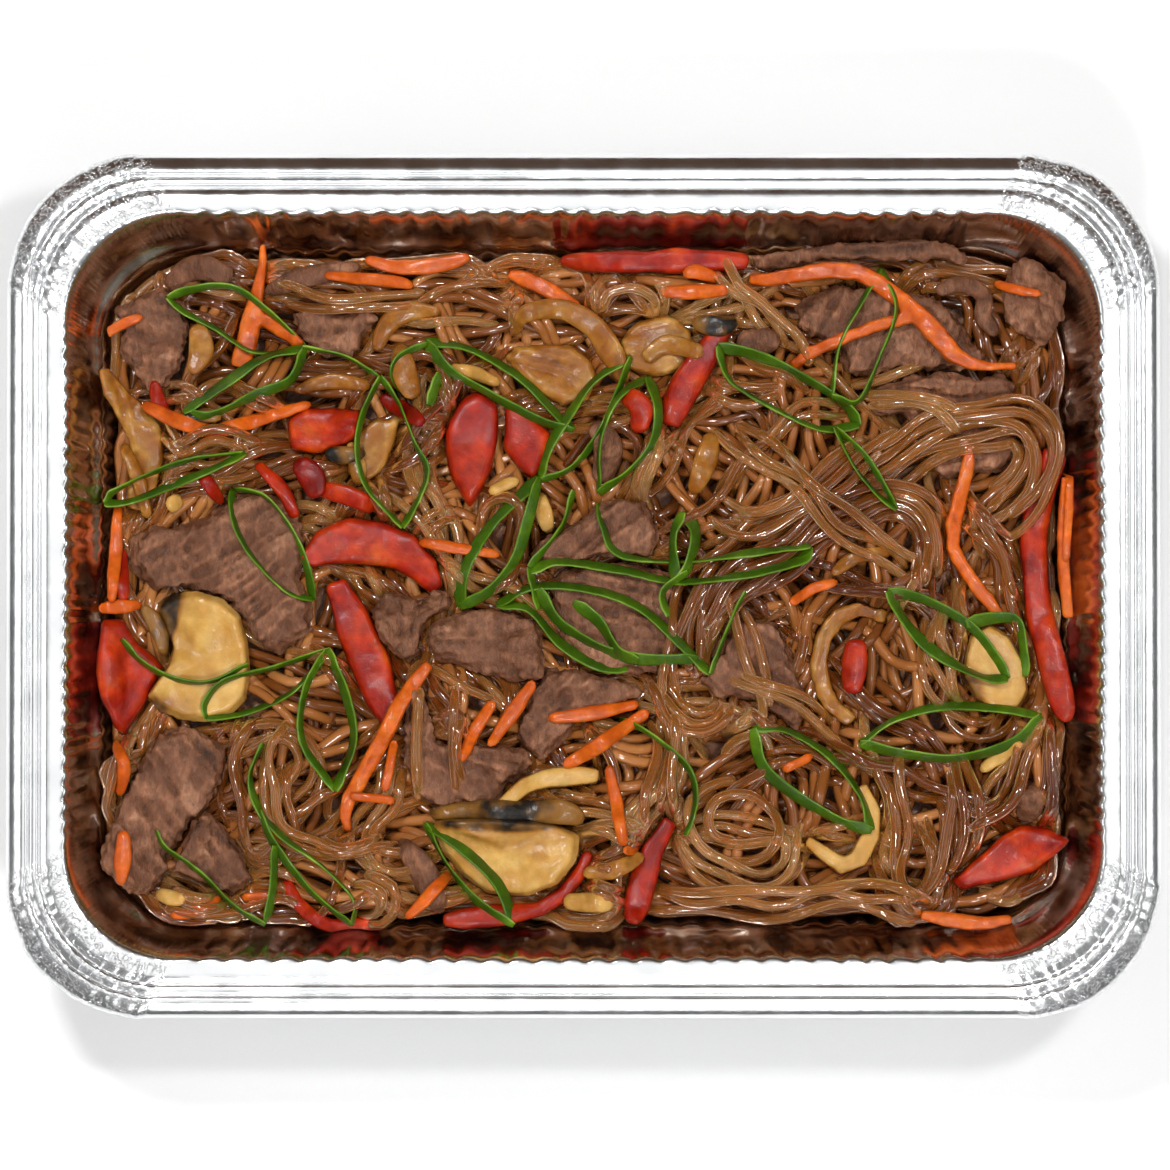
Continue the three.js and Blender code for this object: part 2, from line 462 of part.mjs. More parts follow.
// Lets an under face sink on to the map: returns the height of each of its points
function settle(spots, faces, gap, stiffness) {
  const samples = [];
  const near = spots.map(() => new Set());
  let top = 0;
  for (const [a, b, c] of faces) {
    for (const [m, n] of [[a, b], [b, c], [c, a]]) {
      near[m].add(n);
      near[n].add(m);
    }
    eachSample(spots[a], spots[b], spots[c], (u, v, w) => {
      const x = u * spots[a][0] + v * spots[b][0] + w * spots[c][0];
      const y = u * spots[a][1] + v * spots[b][1] + w * spots[c][1];
      const need = heightAt(x, y) + gap;
      top = Math.max(top, need);
      samples.push([a, b, c, u, v, w, need]);
    });
  }
  const z = spots.map(() => top);
  const lift = () => {
    let worst = 0;
    for (const [a, b, c, u, v, w, need] of samples) {
      const short = need - (u * z[a] + v * z[b] + w * z[c]);
      if (short > 0) {
        const share = short / (u * u + v * v + w * w);
        z[a] += u * share;
        z[b] += v * share;
        z[c] += w * share;
        worst = Math.max(worst, short);
      }
    }
    return worst;
  };
  for (let round = 0; round < sag.rounds; round++) {
    const old = [...z];
    const drop = sag.firstDrop * (1 - round / sag.rounds);
    near.forEach((others, i) => {
      let mean = 0;
      for (const n of others) mean += old[n] / others.size;
      z[i] = old[i] + stiffness * (mean - old[i]) - drop;
    });
    lift();
  }
  for (let round = 0; round < sag.lifts && lift() > sag.nearEnough; round++);
  return z;
}

// A slice: rounded shoulder, flat underside that follows what it lies on
function sliceBody({ middle, edge }, thick, gap) {
  const toMiddle = (point, scale) => [
    middle[0] + (point[0] - middle[0]) * scale, middle[1] + (point[1] - middle[1]) * scale];
  const outer = [...edge];
  let area = 0;
  outer.forEach((p, i) => {
    const q = outer[(i + 1) % outer.length];
    area += p[0] * q[1] - q[0] * p[1];
  });
  if (area < 0) outer.reverse();
  const count = outer.length;
  const half = outer.map((p) => toMiddle(p, halfway));
  const spots = [...outer, ...half, middle];
  const faces = [];
  for (let i = 0; i < count; i++) {
    const j = (i + 1) % count;
    faces.push([i, j, count + j], [i, count + j, count + i], [count + i, count + j, 2 * count]);
  }
  const z = settle(spots, faces, gap, sag.stiff);
  const ring = (list, from, rise) => list.map((p, i) => [p[0], p[1], z[from + i] + rise]);
  const inward = (1 - shoulderAt) / (1 - halfway);
  const shoulder = outer.map((p, i) => [
    ...toMiddle(p, shoulderAt), (1 - inward) * z[i] + inward * z[count + i] + thick]);
  return ringBody([...middle, z[2 * count] + thick * crown],
    [ring(half, count, thick * crown), shoulder, ring(outer, 0, 0), ring(half, count, 0)],
    [...middle, z[2 * count]]);
}

// A strip: four-sided, lying along its middle line
function stripBody(knots, thick, gap, step = stripStep, stiffness = sag.stiff) {
  const steps = Math.max(3, Math.round(lengthOf(knots) / step));
  const line = smoothLine(knots, steps);
  const spots = [];
  line.forEach(([x, y, half], i) => {
    const before = line[Math.max(i - 1, 0)];
    const after = line[Math.min(i + 1, line.length - 1)];
    const length = Math.hypot(after[0] - before[0], after[1] - before[1]);
    const side = [-(after[1] - before[1]) / length * half, (after[0] - before[0]) / length * half];
    spots.push([x + side[0], y + side[1]], [x - side[0], y - side[1]]);
  });
  const under = [];
  for (let i = 0; i < steps; i++) {
    under.push([2 * i, 2 * i + 1, 2 * i + 3], [2 * i, 2 * i + 3, 2 * i + 2]);
  }
  const z = settle(spots, under, gap, stiffness);
  const points = [];
  line.forEach(([x, y], i) => {
    const [left, right] = [spots[2 * i], spots[2 * i + 1]];
    points.push([...left, z[2 * i]], [...right, z[2 * i + 1]]);
    for (const [spot, height] of [[right, z[2 * i + 1]], [left, z[2 * i]]]) {
      points.push([x + (spot[0] - x) * stripTop, y + (spot[1] - y) * stripTop, height + thick]);
    }
  });
  const faces = [[0, 1, 2], [0, 2, 3]];
  for (let i = 0; i < steps; i++) {
    for (let k = 0; k < 4; k++) {
      const [a, b] = [4 * i + k, 4 * i + (k + 1) % 4];
      faces.push([a, a + 4, b + 4], [a, b + 4, b]);
    }
  }
  const end = 4 * steps;
  faces.push([end, end + 2, end + 1], [end, end + 3, end + 2]);
  return { points, faces };
}

// A round strand from three-number points
function tubeBody(line, radius, sides) {
  const rings = line.map((p, i) => {
    const before = new THREE.Vector3(...line[Math.max(i - 1, 0)]);
    const after = new THREE.Vector3(...line[Math.min(i + 1, line.length - 1)]);
    const along = after.sub(before).normalize();
    const side = new THREE.Vector3(-along.y, along.x, 0).normalize();
    const up = new THREE.Vector3().crossVectors(along, side);
    return Array.from({ length: sides }, (_, k) => {
      const angle = (k + 0.5) / sides * 2 * Math.PI;
      const c = Math.cos(angle) * radius;
      const s = Math.sin(angle) * radius;
      return [p[0] + side.x * c + up.x * s, p[1] + side.y * c + up.y * s, p[2] + side.z * c + up.z * s];
    });
  });
  return ringBody(line[0], rings, line[line.length - 1]);
}

// The object

const group = new THREE.Group();

function addMesh(name, body, look) {
  const shape = new THREE.BufferGeometry();
  shape.setAttribute("position", new THREE.Float32BufferAttribute(body.points.flat(), 3));
  shape.setIndex(body.faces.flat());
  shape.computeVertexNormals();
  const mesh = new THREE.Mesh(shape, new THREE.MeshStandardMaterial(look));
  mesh.name = name;
  group.add(mesh);
}

const upright = (body) => (volumeOf(body) < 0
  ? { points: body.points, faces: body.faces.map(([a, b, c]) => [a, c, b]) } : body);

// Foil tray
const rings = [...foilTop, ...foilUnder].map(([inset, z]) => trayLoop(inset, z));
const tray = ringBody([0, 0, foilTop[0][1]], rings, [0, 0, 0]);
addMesh("foil_tray", upright(tray), looks.foil);
raiseMap(tray, false);

// Bare core of the heap, gently uneven
const [wallFoot, wallHead] = [foilTop[1], foilTop[2]];
const wallSlope = (wallFoot[0] - wallHead[0]) / (wallHead[1] - wallFoot[1]);
const wallInset = (z) => wallHead[0] + (wallHead[1] - z) * wallSlope + core.wallGap;
const bumps = (x, y) => core.bump * (Math.sin(x / core.bumpX + 1) * Math.cos(y / core.bumpY + 0.4)
  + core.swell * Math.sin(x / core.swellX - y / core.swellY + 2));
function coreBody() {
  const steps = core.around / 4 - 1;
  const edge = trayLoop(wallInset(core.edgeTop), core.edgeTop, steps);
  const foot = trayLoop(wallInset(core.footTop), core.footTop, steps);
  const under = trayLoop(core.underInset, core.under, steps);
  const topRings = [];
  for (let r = 1; r <= core.rings; r++) {
    const scale = r / core.rings;
    const rise = core.middleTop + (core.edgeTop - core.middleTop) * scale ** 3;
    topRings.push(edge.map(([x, y]) => [x * scale, y * scale,
      rise + bumps(x * scale, y * scale) * (1 - scale ** 6)]));
  }
  return ringBody([0, 0, core.middleTop + bumps(0, 0)], [...topRings, foot, under], [0, 0, core.under]);
}
const bare = coreBody();
raiseMap(bare, false);
let heap = solidOf(bare);

// Small pieces joined to the heap
for (const [thick, knots] of joined) {
  const body = stripBody(knots, thick, -fusedSink, stripStep, sag.limp);
  heap = heap.add(solidOf(body));
  raiseMap(body, true);
}

// Pieces that lie on it, the lowest first
const order = [
  "beef_back_large", "beef_corner", "beef_folded", "beef_left_large", "beef_centre_under", "beef_middle",
  "beef_lower_middle", "beef_right_middle", "beef_right_back", "beef_right_corner",
  "beef_lower_left", "beef_lower_left_small", "beef_centre_top", "beef_back_strip",
  "onion_left", "onion_back", "onion_large", "onion_ring", "onion_middle",
  "pepper_back_strip", "pepper_leg", "pepper_left", "pepper_crescent", "pepper_pair_right",
    "pepper_pair_left",
  "mushroom_left", "mushroom_strip", "mushroom_lower", "mushroom_right", "mushroom_curly",
  "pepper_block", "pepper_arch", "pepper_orange", "pepper_right_strip", "pepper_corner", "pepper_lower",
  "beef_centre_left", "beef_centre_slab",
  "carrot_back_long", "carrot_upright", "carrot_back_curve", "carrot_long", "carrot_right_diagonal",
  "carrot_right_edge", "carrot_lower_right",
];
const thickOf = (name) => thickness[name.split("_")[0]];

function joinedBody(parts) {
  const solids = parts.map(solidOf);
  return bodyOf(solids.slice(1).reduce((sum, part) => sum.add(part), solids[0]));
}

for (const name of order) {
  const thick = thickOf(name);
  let body;
  if (slices[name]) body = sliceBody(slices[name], thick, pieceGap);
  else if (strips[name]) body = stripBody(strips[name], thick, pieceGap);
  else body = joinedBody(bundles[name].map((knots) => stripBody(knots, thick, pieceGap)));
  addMesh(name, upright(body), looks[name.split("_")[0]]);
  raiseMap(body, true);
}
for (const [name, sides] of Object.entries(scallions)) {
  const parts = sides.map((knots) => stripBody(
    knots.map(([x, y]) => [x, y, scallionHalfWidth]), thickness.scallion, pieceGap, limpStep, sag.limp));
  const body = joinedBody(parts);
  addMesh(name, body, looks.scallion);
  raiseMap(body, true);
}

// Noodle strands where nothing lies on the heap
function openAt(x, y) {
  const reach = Math.ceil(strand.clearance / cell);
  const [i, j] = [column(x), row(y)];
  for (let n = j - reach; n <= j + reach; n++) {
    for (let m = i - reach; m <= i + reach; m++) if (covered[n * columns + m]) return false;
  }
  return heightAt(x, y) < strand.highest;
}
for (const knots of noodles) {
  const fine = smoothLine(knots, Math.round(lengthOf(knots)));
  let run = [];
  const finish = () => {
    const count = Math.round(lengthOf(run) / strand.step);
    if (run.length > 1 && lengthOf(run) >= strand.shortest) {
      const line = [];
      for (let s = 0; s <= count; s++) {
        const [x, y] = run[Math.round(s / count * (run.length - 1))];
        line.push([x, y, heightAt(x, y) + strand.radius - strand.sink]);
      }
      const body = tubeBody(line, strand.radius, strand.sides);
      heap = heap.add(solidOf(body));
      raiseMap(body, false);
    }
    run = [];
  };
  for (const spot of fine) {
    if (openAt(...spot)) run.push(spot);
    else finish();
  }
  finish();
}

// The heap keeps clear of the foil
const room = ringBody([0, 0, roomFor[0][1]], roomFor.map(([inset, z]) => trayLoop(inset, z)),
  [0, 0, roomFor[roomFor.length - 1][1]]);
heap = heap.intersect(solidOf(room));
addMesh("noodles", bodyOf(heap), looks.noodle);

export default group;
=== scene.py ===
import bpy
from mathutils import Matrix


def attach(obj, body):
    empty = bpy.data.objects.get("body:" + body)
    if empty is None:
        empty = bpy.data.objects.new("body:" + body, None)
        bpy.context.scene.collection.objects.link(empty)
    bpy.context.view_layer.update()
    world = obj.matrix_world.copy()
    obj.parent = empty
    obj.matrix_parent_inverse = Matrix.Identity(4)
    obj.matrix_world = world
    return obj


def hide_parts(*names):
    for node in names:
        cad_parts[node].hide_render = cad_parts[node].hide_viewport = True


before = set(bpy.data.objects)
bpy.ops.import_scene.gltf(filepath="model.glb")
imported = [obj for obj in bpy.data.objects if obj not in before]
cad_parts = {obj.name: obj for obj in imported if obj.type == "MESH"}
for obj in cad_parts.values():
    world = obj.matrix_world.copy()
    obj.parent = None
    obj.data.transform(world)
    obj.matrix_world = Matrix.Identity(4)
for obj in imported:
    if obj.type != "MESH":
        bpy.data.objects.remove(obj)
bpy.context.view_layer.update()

import math
import random

import bpy
import numpy as np

mm = 0.001
dice = random.Random(4187)


# Small tools

def paint(red, green, blue):  # screen colour 0-255 to the linear colour a shader wants
    return tuple((c / 255 / 12.92) if c <= 10 else ((c / 255 + 0.055) / 1.055) ** 2.4
                 for c in (red, green, blue)) + (1.0,)


def lumps(points, size, seed):  # smooth noise from -1 to 1, with lumps of that size in mm
    p = points / np.asarray(size, float) + seed * 13.7
    base = np.floor(p).astype(np.int64)
    f = p - base
    f = f * f * (3 - 2 * f)
    total = np.zeros(len(points))
    for corner in range(8):
        step = np.array([corner & 1, corner >> 1 & 1, corner >> 2])
        c = base + step
        h = (c[:, 0] * 374761393 + c[:, 1] * 668265263 + c[:, 2] * 1442695041 + seed * 69069) & 0x7FFFFFFF
        h = ((h ^ (h >> 13)) * 1274126177) & 0x7FFFFFFF
        h = (h ^ (h >> 16)) & 0xFFFFFF
        weight = np.prod(np.where(step == 1, f, 1 - f), axis=1)
        total += weight * (h / 0x7FFFFF - 1)
    return total


def smoothLine(knots, spacing):  # curve through given points, as points about that far apart
    k = np.array(knots, float)
    if len(k) == 2:
        k = np.array([k[0], (k[0] + k[1]) / 2, k[1]])
    padded = np.vstack([2 * k[0] - k[1], k, 2 * k[-1] - k[-2]])
    pieces = []
    for i in range(len(k) - 1):
        a, b, c, d = padded[i:i + 4]
        t = np.linspace(0, 1, 16, endpoint=False)[:, None]
        pieces.append(b + 0.5 * t * (c - a + t * (2 * a - 5 * b + 4 * c - d + t * (3 * (b - c) + d - a))))
    fine = np.vstack(pieces + [k[-1:]])
    along = np.concatenate([[0], np.cumsum(np.hypot(*(fine[1:, :2] - fine[:-1, :2]).T))])
    count = max(3, int(round(along[-1] / spacing)) + 1)
    at = np.linspace(0, along[-1], count)
    return np.stack([np.interp(at, along, fine[:, i]) for i in range(fine.shape[1])], axis=1)


def sideways(line):  # unit vector to the left of the line at each point, seen from above
    along = np.gradient(line[:, :2], axis=0)
    along /= np.maximum(np.hypot(along[:, 0], along[:, 1]), 1e-9)[:, None]
    return np.stack([-along[:, 1], along[:, 0]], axis=1)


def softened(values, rounds):  # evens out a row of numbers, its ends kept
    v = np.array(values, float)
    for _ in range(rounds):
        v[1:-1] = 0.5 * v[1:-1] + 0.25 * (v[:-2] + v[2:])
    return v


def fromEnds(count):  # how many steps each point of a line is from its nearer end
    return np.minimum(np.arange(count), np.arange(count)[::-1])


def squared(values, power):  # the same wave with flatter tops
    return np.sign(values) * np.abs(values) ** power


def jittered(points, size, depth, seed):  # points moved a little, each way by its own noise
    return points + depth * np.stack([lumps(points, size, seed + n) for n in range(3)], axis=1)


def tubeFaces(count, sides):  # faces of a tube of that many rings, closed at both ends
    r, c = np.meshgrid(np.arange(count - 1), np.arange(sides), indexing="ij")
    a, b = r * sides + c, r * sides + (c + 1) % sides
    faces = np.stack([a, a + sides, b + sides, b], axis=2).reshape(-1, 4).tolist()
    return faces + [list(range(sides)), list(range((count - 1) * sides, count * sides))[::-1]]


def sweptPoints(line, side, across, up, height):  # points of the cross sections along a line
    points = np.zeros(across.shape + (3,))
    points[:, :, 0] = line[:, 0][:, None] + side[:, 0][:, None] * across
    points[:, :, 1] = line[:, 1][:, None] + side[:, 1][:, None] * across
    points[:, :, 2] = height[:, None] + up
    return points.reshape(-1, 3)


def makePiece(name, points, faces, material, slot, replaced, **marks):  # marks: values at the points
    mesh = bpy.data.meshes.new(name)
    mesh.from_pydata((points * mm).tolist(), [], faces)
    mesh.shade_smooth()
    mesh.materials.append(material)
    for mark, values in marks.items():
        attribute = mesh.attributes.new(mark, "FLOAT", "POINT")
        attribute.data.foreach_set("value", np.asarray(values, np.float32))
    mesh.validate()
    piece = bpy.data.objects.new(name, mesh)
    bpy.context.scene.collection.objects.link(piece)
    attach(piece, "root")
    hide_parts(*replaced)
    return piece


# Nodes of a material

def startMaterial(name, roughness, **sockets):
    material = bpy.data.materials.new(name)
    material.use_nodes = True
    shader = material.node_tree.nodes["Principled BSDF"]
    shader.inputs["Roughness"].default_value = roughness
    for socket, value in sockets.items():
        shader.inputs[socket.replace("_", " ")].default_value = value
    return material, material.node_tree, shader


def speckle(tree, size, detail=3.0, rough=0.55, stretch=(1, 1, 1)):  # noise of that size in mm
    place = tree.nodes.new("ShaderNodeTexCoord")
    mapping = tree.nodes.new("ShaderNodeMapping")
    mapping.vector_type = "POINT"
    mapping.inputs["Scale"].default_value = stretch
    tree.links.new(place.outputs["Object"], mapping.inputs["Vector"])
    noise = tree.nodes.new("ShaderNodeTexNoise")
    noise.inputs["Scale"].default_value = 1 / (size * mm)
    noise.inputs["Detail"].default_value = detail
    noise.inputs["Roughness"].default_value = rough
    tree.links.new(mapping.outputs["Vector"], noise.inputs["Vector"])
    return noise.outputs["Fac"]


def read(tree, name):  # a value kept at the mesh's points
    node = tree.nodes.new("ShaderNodeAttribute")
    node.attribute_name = name
    return node.outputs["Fac"]


def ramp(tree, factor, stops):  # colour along a factor; each stop is a place, and a grey or a screen colour
    node = tree.nodes.new("ShaderNodeValToRGB")
    elements = node.color_ramp.elements
    while len(elements) < len(stops):
        elements.new(0.5)
    for element, (at, colour) in zip(elements, stops):
        element.position = at
        element.color = paint(*colour) if isinstance(colour, tuple) else (colour, colour, colour, 1)
    tree.links.new(factor, node.inputs["Fac"])
    return node.outputs["Color"]


def blendColours(tree, factor, first, second, way="MIX"):
    node = tree.nodes.new("ShaderNodeMix")
    node.data_type = "RGBA"
    node.blend_type = way
    for name, value in (("Factor", factor), ("A", first), ("B", second)):
        kind = "VALUE" if name == "Factor" else "RGBA"
        socket = [s for s in node.inputs if s.name == name and s.type == kind][0]
        if isinstance(value, (float, int, tuple)):
            socket.default_value = value
        else:
            tree.links.new(value, socket)
    return [s for s in node.outputs if s.type == "RGBA"][0]


def relief(tree, shader, height, depth, under=None, share=None):  # bump, with its depth in mm
    node = tree.nodes.new("ShaderNodeBump")
    node.inputs["Strength"].default_value = 1.0
    node.inputs["Distance"].default_value = depth * mm
    tree.links.new(height, node.inputs["Height"])
    if share:
        tree.links.new(share, node.inputs["Strength"])
    if under:
        tree.links.new(under, node.inputs["Normal"])
    for socket in ("Normal", "Coat Normal"):
        tree.links.new(node.outputs["Normal"], shader.inputs[socket])
    return node.outputs["Normal"]


def foodMaterial(name, look):  # colour from the mesh's tone and two noises, wet gloss over it
    material, tree, shader = startMaterial(
        name, look["roughness"], Coat_Weight=look["wet"], Coat_Roughness=look["coatRoughness"],
        Specular_IOR_Level=0.16)
    if "flesh" in look:                    # light under the surface: its share, depth and reach by colour
        weight, depth, reach = look["flesh"]
        shader.inputs["Subsurface Weight"].default_value = weight
        shader.inputs["Subsurface Scale"].default_value = depth * mm
        shader.inputs["Subsurface Radius"].default_value = reach
    stretch = look.get("stretch", (1, 1, 1))
    darkest, lightest = 1 - look["contrast"], 1 + look["contrast"] * 0.6
    base = ramp(tree, read(tree, "tone"), look["tones"])
    mottle = ramp(tree, speckle(tree, look["mottle"], 2.0, 0.6, stretch),
                  [(0.3, darkest), (0.7, lightest)])
    colour = blendColours(tree, 1.0, base, mottle, "MULTIPLY")
    patches = ramp(tree, speckle(tree, look["patch"], 2.0),
                   [(0.42, 0), (0.62, look["patchShare"])])
    colour = blendColours(tree, patches, colour, paint(*look["patchColour"]))
    tree.links.new(colour, shader.inputs["Base Color"])
    relief(tree, shader, speckle(tree, look["grain"], 4.0, 0.65, stretch), look["grainDepth"])
    return material


# Foil tray, in mm: sizes of the rim's outline, then the section as inset and height

tray = {
    "length": 231, "width": 173, "corner": 28, "cornerPerInset": 0.5,
    "spacing": 0.72, "cornerSpacing": 0.5,  # distance between points round the rim
    "fluteLong": 5.5, "fluteShort": 3.6,   # pitch of the wall's flutes on long and short sides
    "pleat": 1.25,                         # pitch of the pleats round each corner
    "fluteDepth": 0.34, "pleatDepth": 0.13, "crimpDepth": 0.075, "rumpleDepth": 0.07,
    "fluteFade": 9, "crimpFade": 3,        # how far from a corner's end the flutes and crimps fade
    "unevenPitch": 0.8, "unevenDepth": 0.4,
    "rimWave": 0.03, "rimGrain": 0.02, "wallBulge": 0.28, "floorWave": 0.1, "floorGrain": 0.05,
    "bead": 5, "beadSwell": 0.2, "beadCrimp": 0.2, "beadBuckle": 0.25,
    "wallEdge": 11.4, "cleanBelow": 2, "cleanAbove": 41.0,    # where the sauce film ends
    "section": [                           # inset, height, flute share, crimp share, from the middle out
        [100, 0.9, 0, 0], [60, 0.9, 0, 0], [32, 0.9, 0, 0], [27.5, 0.9, 0, 0], [25.6, 1.1, 0.1, 0],
        [24.4, 1.7, 0.3, 0], [23.6, 3, 0.7, 0], [22.9, 6, 1, 0], [21.6, 12, 1, 0],
        [20.3, 18, 1, 0], [19.1, 23.5, 1, 0], [18.5, 26.3, 0.8, 0], [18.0, 27.2, 0.5, 0],
        [17.3, 27.8, 0.4, 0], [16.6, 28.5, 0.4, 0], [16.0, 29.4, 0.6, 0], [15.3, 31, 0.9, 0],
        [14.6, 33.2, 1, 0], [13.9, 35.6, 1, 0.05], [13.1, 38.2, 1, 0.1], [12.4, 40, 0.95, 0.15],
        [12.0, 40.75, 1.1, 0.25], [11.7, 41.02, 1.0, 0.3], [11.2, 41.15, 0.4, 0.5], [10.4, 41.2, 0.1, 0.8],
        [9.4, 41.2, 0, 1], [8.5, 41.2, 0, 1], [8.1, 41.1, 0, 1], [7.6, 40.9, 0, 1], [7.1, 40.68, 0, 1],
        [6.75, 40.52, 0, 1], [6.66, 40.7, 0, 1], [6.58, 41.15, 0, 1], [6.46, 41.42, 0, 1], [6.1, 41.5, 0, 1],
        [5.35, 41.48, 0, 1], [5.05, 41.32, 0, 1], [4.75, 41.12, 0, 1], [4.5, 41.05, 0, 1],
        [4.42, 41.25, 0, 1], [4.34, 41.68, 0, 1], [4.22, 41.88, 0, 0.9], [3.8, 41.95, 0, 0.8],
        [3.4, 41.93, 0, 0.8],
        [2.8, 41.72, 0, 0.8], [2.2, 41.45, 0, 0.8], [1.6, 41.12, 0, 0.8], [1.0, 40.68, 0, 0.8],
        [0.5, 40.15, 0, 0.8], [0.18, 39.55, 0, 0.8], [0.1, 39.0, 0, 0.7], [0.6, 38.6, 0, 0.5],
        [1.5, 38.5, 0, 0.3], [2.5, 38.7, 0, 0.2], [3.1, 39.2, 0, 0],
    ],
    "underside": [                         # the same sheet from below, from the rim back to the middle
        [4.2, 39.9, 0, 0], [6.8, 39.85, 0, 0], [8.4, 40.2, 0, 0], [10.9, 40.45, 0.1, 0], [11.6, 40.2, 0.8, 0],
        [12.15, 39.4, 0.95, 0], [13.6, 35.5, 1, 0], [15.0, 31, 0.9, 0], [15.75, 29.3, 0.6, 0],
        [16.5, 28.25, 0.4, 0], [17.25, 27.5, 0.4, 0], [17.85, 26.95, 0.5, 0], [18.25, 26.2, 0.8, 0],
        [18.85, 23.4, 1, 0], [20.05, 18, 1, 0], [21.35, 12, 1, 0], [22.65, 6, 1, 0], [23.35, 2.9, 0.7, 0],
        [24.2, 1.4, 0.3, 0], [25.5, 0.75, 0.1, 0], [27.5, 0.3, 0, 0], [32, 0.1, 0, 0], [60, 0.05, 0, 0],
        [100, 0.05, 0, 0],
    ],
}


atCorner, longSide, shortSide = 1, 2, 3     # kinds of edge


def trayFlow():  # one turn round the rim: corner centre's sides, direction, at a corner or not, way along it
    arc = tray["corner"] * math.pi / 2
    sides = [(1, 1), (-1, 1), (-1, -1), (1, -1)]
    spots = []
    for corner in range(4):
        sx, sy = sides[corner]
        steps = int(arc / tray["cornerSpacing"])
        for k in range(steps):
            spots.append((sx, sy, (corner + k / steps) * math.pi / 2, 1.0, atCorner, k / steps * arc))
        nx, ny = sides[(corner + 1) % 4]
        kind = longSide if corner in (0, 2) else shortSide
        length = 2 * (tray["length" if kind == longSide else "width"] / 2 - tray["corner"])
        steps = int(length / tray["spacing"])
        for k in range(steps):
            share = k / steps
            spots.append((sx + (nx - sx) * share, sy + (ny - sy) * share, (corner + 1) * math.pi / 2,
                          0.0, kind, share * length))
    return np.array(spots)


def wallWave(kind, along, ring):  # flutes: an even wave along each side, finer and flatter at the corners
    lengths = [0, tray["corner"] * math.pi / 2, 2 * (tray["length"] / 2 - tray["corner"]),
               2 * (tray["width"] / 2 - tray["corner"])]
    pitches = [0, tray["pleat"], tray["fluteLong"], tray["fluteShort"]]
    length, pitch = np.array(lengths)[kind], np.array(pitches)[kind]
    phase = along / length * np.round(length / pitch) * 2 * math.pi
    phase = phase + lumps(ring, 4.0, 3) * tray["unevenPitch"]
    fade = np.clip(np.minimum(along, length - along) / tray["fluteFade"], 0, 1)
    flute = tray["pleatDepth"] + (tray["fluteDepth"] - tray["pleatDepth"]) * fade
    depth = np.where(kind == atCorner, tray["pleatDepth"], flute)
    wave = 0.8 * np.cos(phase) + 0.2 * np.cos(2 * phase)
    return wave * depth * (1 + tray["unevenDepth"] * lumps(ring, 2.2, 5))


